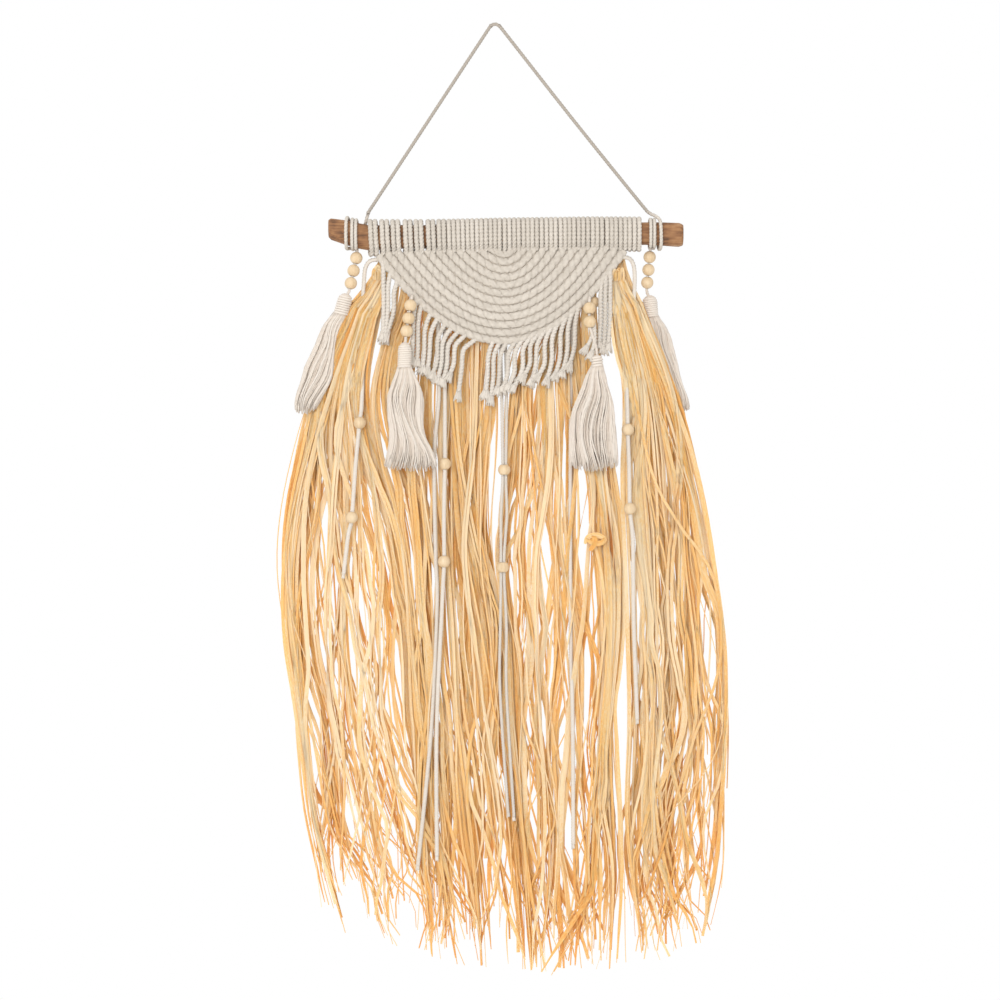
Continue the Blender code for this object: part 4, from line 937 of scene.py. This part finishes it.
def parted(x, z):
    # a leaf passes on one side of each gap
    for middleX, middleZ, halfWidth, halfHeight in allPartings:
        if z[-1] > middleZ:
            continue
        side = 1.0 if np.interp(-middleZ, -z, x) > middleX else -1.0
        reach = 3.4 * halfWidth
        tall = halfWidth * smoothStep(1.5 * (1.0 - np.abs(z - middleZ) / halfHeight))
        away = side * (x - middleX)
        x = x + side * tall * np.clip(1.0 - np.abs(away) / reach, 0.0, 1.0)
    return x


def addLeaf(store, points, halfWidths, turn, shade):
    # a thin leaf with a crease down its middle, turned about its own line as it falls
    along = np.gradient(points, axis=0)
    along /= np.linalg.norm(along, axis=1)[:, None]
    side = np.cross(along, (0.0, 1.0, 0.0))
    side /= np.linalg.norm(side, axis=1)[:, None]
    out = np.cross(along, side)
    c, s = np.cos(turn)[:, None], np.sin(turn)[:, None]
    across, up = side * c + out * s, out * c - side * s
    w = halfWidths[:, None]
    fold = raffiaSet["fold"] * w
    t = raffiaSet["thick"] * 0.5
    front = [points - across * w - up * t, points + up * (fold - t), points + across * w - up * t]
    back = [points + across * w + up * t, points + up * (fold + t), points - across * w + up * t]
    addRings(store, np.stack(front + back, axis=1), shade)


def kinkedLine(rng, z):
    # nearly straight lengths that meet at soft bends, as a dried leaf hangs
    bends = raffiaSet["bends"]
    heights, offsets = [z[0]], [0.0]
    while heights[-1] > z[-1]:
        heights.append(heights[-1] - rng.uniform(*bends["apart"]))
        reached = min((z[0] - heights[-1]) / (z[0] - z[-1]), 1.0)
        aside = bends["asideTop"] + (bends["asideLow"] - bends["asideTop"]) * reached
        offsets.append(rng.gauss(0.0, 1.0) * aside)
    line = np.interp(-z, [-h for h in heights], offsets)
    for _ in range(2):
        line = np.convolve(np.pad(line, 1, mode="edge"), (0.25, 0.5, 0.25), mode="valid")
    return line


def pickWidth(rng, outer):
    pick = rng.random()
    for portion, narrow, wide in raffiaSet["widths"]:
        width = rng.uniform(narrow, wide)
        pick -= portion
        if pick < 0.0:
            break
    return width * (raffiaSet["outerNarrower"] if outer else 1.0)


def heldIn(x, left, right, give):
    # leaves near the bunch's side are held in softly
    middle, half = 0.5 * (left + right), 0.5 * (right - left) + 3.0
    off, free = (x - middle) / half, raffiaSet["holdFrom"]
    held = free + give * np.tanh((np.abs(off) - free) / give)
    return middle + half * np.sign(off) * np.where(np.abs(off) < free, np.abs(off), held)


def hangLeaf(store, number, bunch, share, rng):
    # one leaf from the bar to its tip, with the strips and the thread that are split off it
    _, arcFrom, arcTo, _, shortZ, longZ = bunch
    outer = number in (0, 4)
    outward = share if number == 4 else 1.0 - share
    depth = rng.random()
    rootShare = min(max(share + rng.uniform(-0.07, 0.07), 0.0), 1.0)
    rootX, rootZ = onPanel(panel["bars"] - 0.4, arcFrom + (arcTo - arcFrom) * (0.03 + 0.94 * rootShare))
    endZ = rng.uniform(longZ, shortZ)
    some, least, most = raffiaSet["shorter"]
    if rng.random() < some:
        endZ += rng.uniform(least, most)
    if outer:  # the outer leaves hang from higher up and end higher
        endZ += raffiaSet["outerRise"] * outward ** 2
    width = pickWidth(rng, outer)
    count = int((rootZ - endZ) / raffiaSet["ring"])
    z = np.linspace(rootZ, endZ, count)
    down = (rootZ - z) / (rootZ - endZ)
    left, right = bunchEdge(number, z, 0), bunchEdge(number, z, 1)

    # its course from side to side
    phase = rng.uniform(0.0, 6.28)
    place = share + rng.gauss(0.0, raffiaSet["crossing"]) * smoothStep(down * rng.uniform(1.0, 2.2))
    place = 0.5 + 0.5 * np.tanh(0.8 * (2.0 * place - 1.0)) / math.tanh(0.8)
    x = rootX + (left + place * (right - left) - rootX) * np.clip((rootZ - z) / 40.0, 0.0, 1.0)
    far, long = raffiaSet["sway"]
    far *= rng.uniform(0.2, 1.0)
    x += far * np.sin(phase + z * 6.28 / (long * rng.uniform(0.7, 1.4))) * smoothStep(down * 3.0)
    x += kinkedLine(rng, z)
    x += rng.gauss(0.0, raffiaSet["leanLow"]) * np.maximum(raffiaSet["leanFrom"] - z, 0.0)
    if rng.random() < raffiaSet["brokenTips"]:  # the last few centimetres stand off to one side
        lean = rng.choice((-1.0, 1.0)) * rng.uniform(0.15, 0.6)
        x += lean * np.maximum(endZ + rng.uniform(30.0, 120.0) - z, 0.0)
    if width > 2.0 or rng.random() < 0.5:
        x = parted(x, z)
    x = heldIn(x, left, right, raffiaSet["give" if rng.random() > raffiaSet["strays"] else "strayGive"])

    # its course from back to front
    y = raffiaSet["rootDepth"] * depth
    backFrom, backOver = raffiaSet["backFrom"]
    y = y + (raffiaSet["lowY"] + raffiaSet["lowDepth"] * depth - y) * smoothStep((backFrom - z) / backOver)
    y += 1.0 * np.sin(phase + z / 55.0) * down
    over = raffiaSet["overCord"]
    if outer and 0.1 < outward < 0.8 and rng.random() < 0.8:
        lift = smoothStep(1.35 * (1.0 - np.abs(z - over["z"]) / over["reach"]))
        y = y + (over["y"] - rng.uniform(0.0, 1.2) - y) * lift

    # width, turn and tone all change a little as it falls
    wide = 0.5 * width * (0.75 + 0.25 * smoothStep((rootZ - z) / 60.0))
    wide *= 1.0 - 0.05 * smoothStep(down * 1.4 - 0.4)
    wide *= 0.9 + 0.1 * np.sin(phase + z / rng.uniform(35.0, 70.0))
    turn = rng.uniform(-0.45, 0.45) + rng.uniform(0.1, 0.5) * np.sin(phase + z / rng.uniform(50.0, 120.0))
    if rng.random() < raffiaSet["twisted"]:  # half a turn about its own line, somewhere down its length
        turn += math.pi * smoothStep((rootZ - rng.uniform(60.0, 420.0) - z) / rng.uniform(60.0, 110.0))
    # leaves further back are coloured darker and more orange: painted shade for the layers in front of them; the
    # tone is also set darker towards the bottom
    shade = (0.84 - 0.52 * depth + rng.uniform(-0.3, 0.25) - 0.26 * smoothStep((-600.0 - z) / 200.0)
             + 0.16 * np.sin(1.7 * phase + z / rng.uniform(18.0, 60.0)))

    # one leaf split by hand gives strips that fall together, edge to edge
    side = 1.0 if share < 0.2 else -1.0 if share > 0.8 else rng.choice((-1.0, 1.0))
    for strip in range(1 + (rng.choice(raffiaSet["together"]) if width > 2.0 else 0)):
        last = count - (0 if strip == 0 else rng.randint(0, max(count // 6, 1)))
        gape = 0.78 + rng.uniform(0.0, 0.5) * np.sin(phase * strip + z / rng.uniform(60.0, 150.0))
        apart = side * strip * width * gape + rng.gauss(0.0, 6.0) * smoothStep(down * 1.6 - 0.6)
        taper = (1.0 - np.linspace(0.0, 1.0, last)) / rng.uniform(0.03, 0.14)
        taper = np.clip(taper, rng.uniform(0.2, 0.7), 1.0) * wide[:last]
        line = np.stack([x + (apart if strip else 0.0), y + 0.5 * strip, z], axis=1)[:last]
        addLeaf(store, line, taper * (1.0 if strip == 0 else rng.uniform(0.5, 1.0)),
                turn[:last] + rng.uniform(-0.3, 0.3) * strip,
                np.clip(shade[:last] + rng.uniform(-0.12, 0.12) * strip, 0.0, 1.0))
    if width > 3.0 and rng.random() < raffiaSet["threads"]:  # a thread split off its edge, low down
        start = int(count * rng.uniform(0.45, 0.8))
        if count - start > 4:
            off = np.linspace(0.0, 1.0, count - start)
            aside = (0.5 * width + rng.uniform(2.0, 12.0) * off) * rng.choice((-1, 1)) * off
            thread = np.stack([x[start:] + aside, y[start:] - 0.4, z[start:] - off * 3.0], axis=1)
            addLeaf(store, thread, 0.55 * (1.0 - 0.5 * off), turn[start:], np.clip(shade[start:], 0.0, 1.0))


def makeBunch(number, bunch):
    name, leaves = bunch[0], bunch[3]
    rng = random.Random(raffiaSet["seed"] + number)
    store = newStore()
    for leaf in range(leaves):
        share = (leaf + rng.uniform(0.1, 0.9)) / leaves
        share = (share * 7.31 + 0.13) % 1.0 if leaf % 3 == 0 else share  # a third of them hang out of order
        hangLeaf(store, number, bunch, share, rng)
    for x, z in raffiaSet["folds"].get(name, []):  # leaves folded over the edge cord where the bunch is tied
        turns = np.linspace(-0.5, math.pi + 0.5, 13)
        for k in range(8):
            wide, tall, aside = rng.uniform(0.7, 2.4), rng.uniform(4.5, 8.0), rng.uniform(-4.5, 4.5)
            fold = np.stack([x + aside + wide * np.cos(turns) * (1 if k % 2 else -1),
                             -2.0 - 4.5 * np.sin(turns) - 0.4 * k, z - 9.0 + tall * np.sin(turns)], axis=1)
            addLeaf(store, fold, np.full(13, rng.uniform(0.9, 1.7)), np.full(13, rng.uniform(-0.7, 0.7)),
                    rng.uniform(0.45, 1.0))
    for x, y, z in raffiaSet["knots"].get(name, []):  # a leaf folded round its neighbours and pulled tight
        for k, route in enumerate(raffiaSet["knotFolds"]):
            line = throughPoints([(x + u, y - 0.6 * k - v, z + w) for u, v, w in route], 1.6)
            t = np.linspace(0.0, 1.0, len(line))
            wide = 2.3 * np.interp(t, (0.0, 0.15, 0.85, 1.0), (0.5, 1.0, 1.0, 0.5))
            addLeaf(store, line, wide, 1.1 * t - 0.5, 0.6 - 0.2 * k)
    # sharp edges, because the leaves are thin
    pieceFrom(store, name + "_leaves", raffia, name, sharpAbove=60.0)
    return len(store["faces"])


for number, bunch in enumerate(raffiaSet["bunches"]):
    print(bunch[0], "faces", makeBunch(number, bunch))
print("raffia made")

total = sum(len(p.vertices) - 2 for o in bpy.data.objects if o.type == "MESH" and not o.hide_render
            for p in o.data.polygons)
print("triangles shown", total)
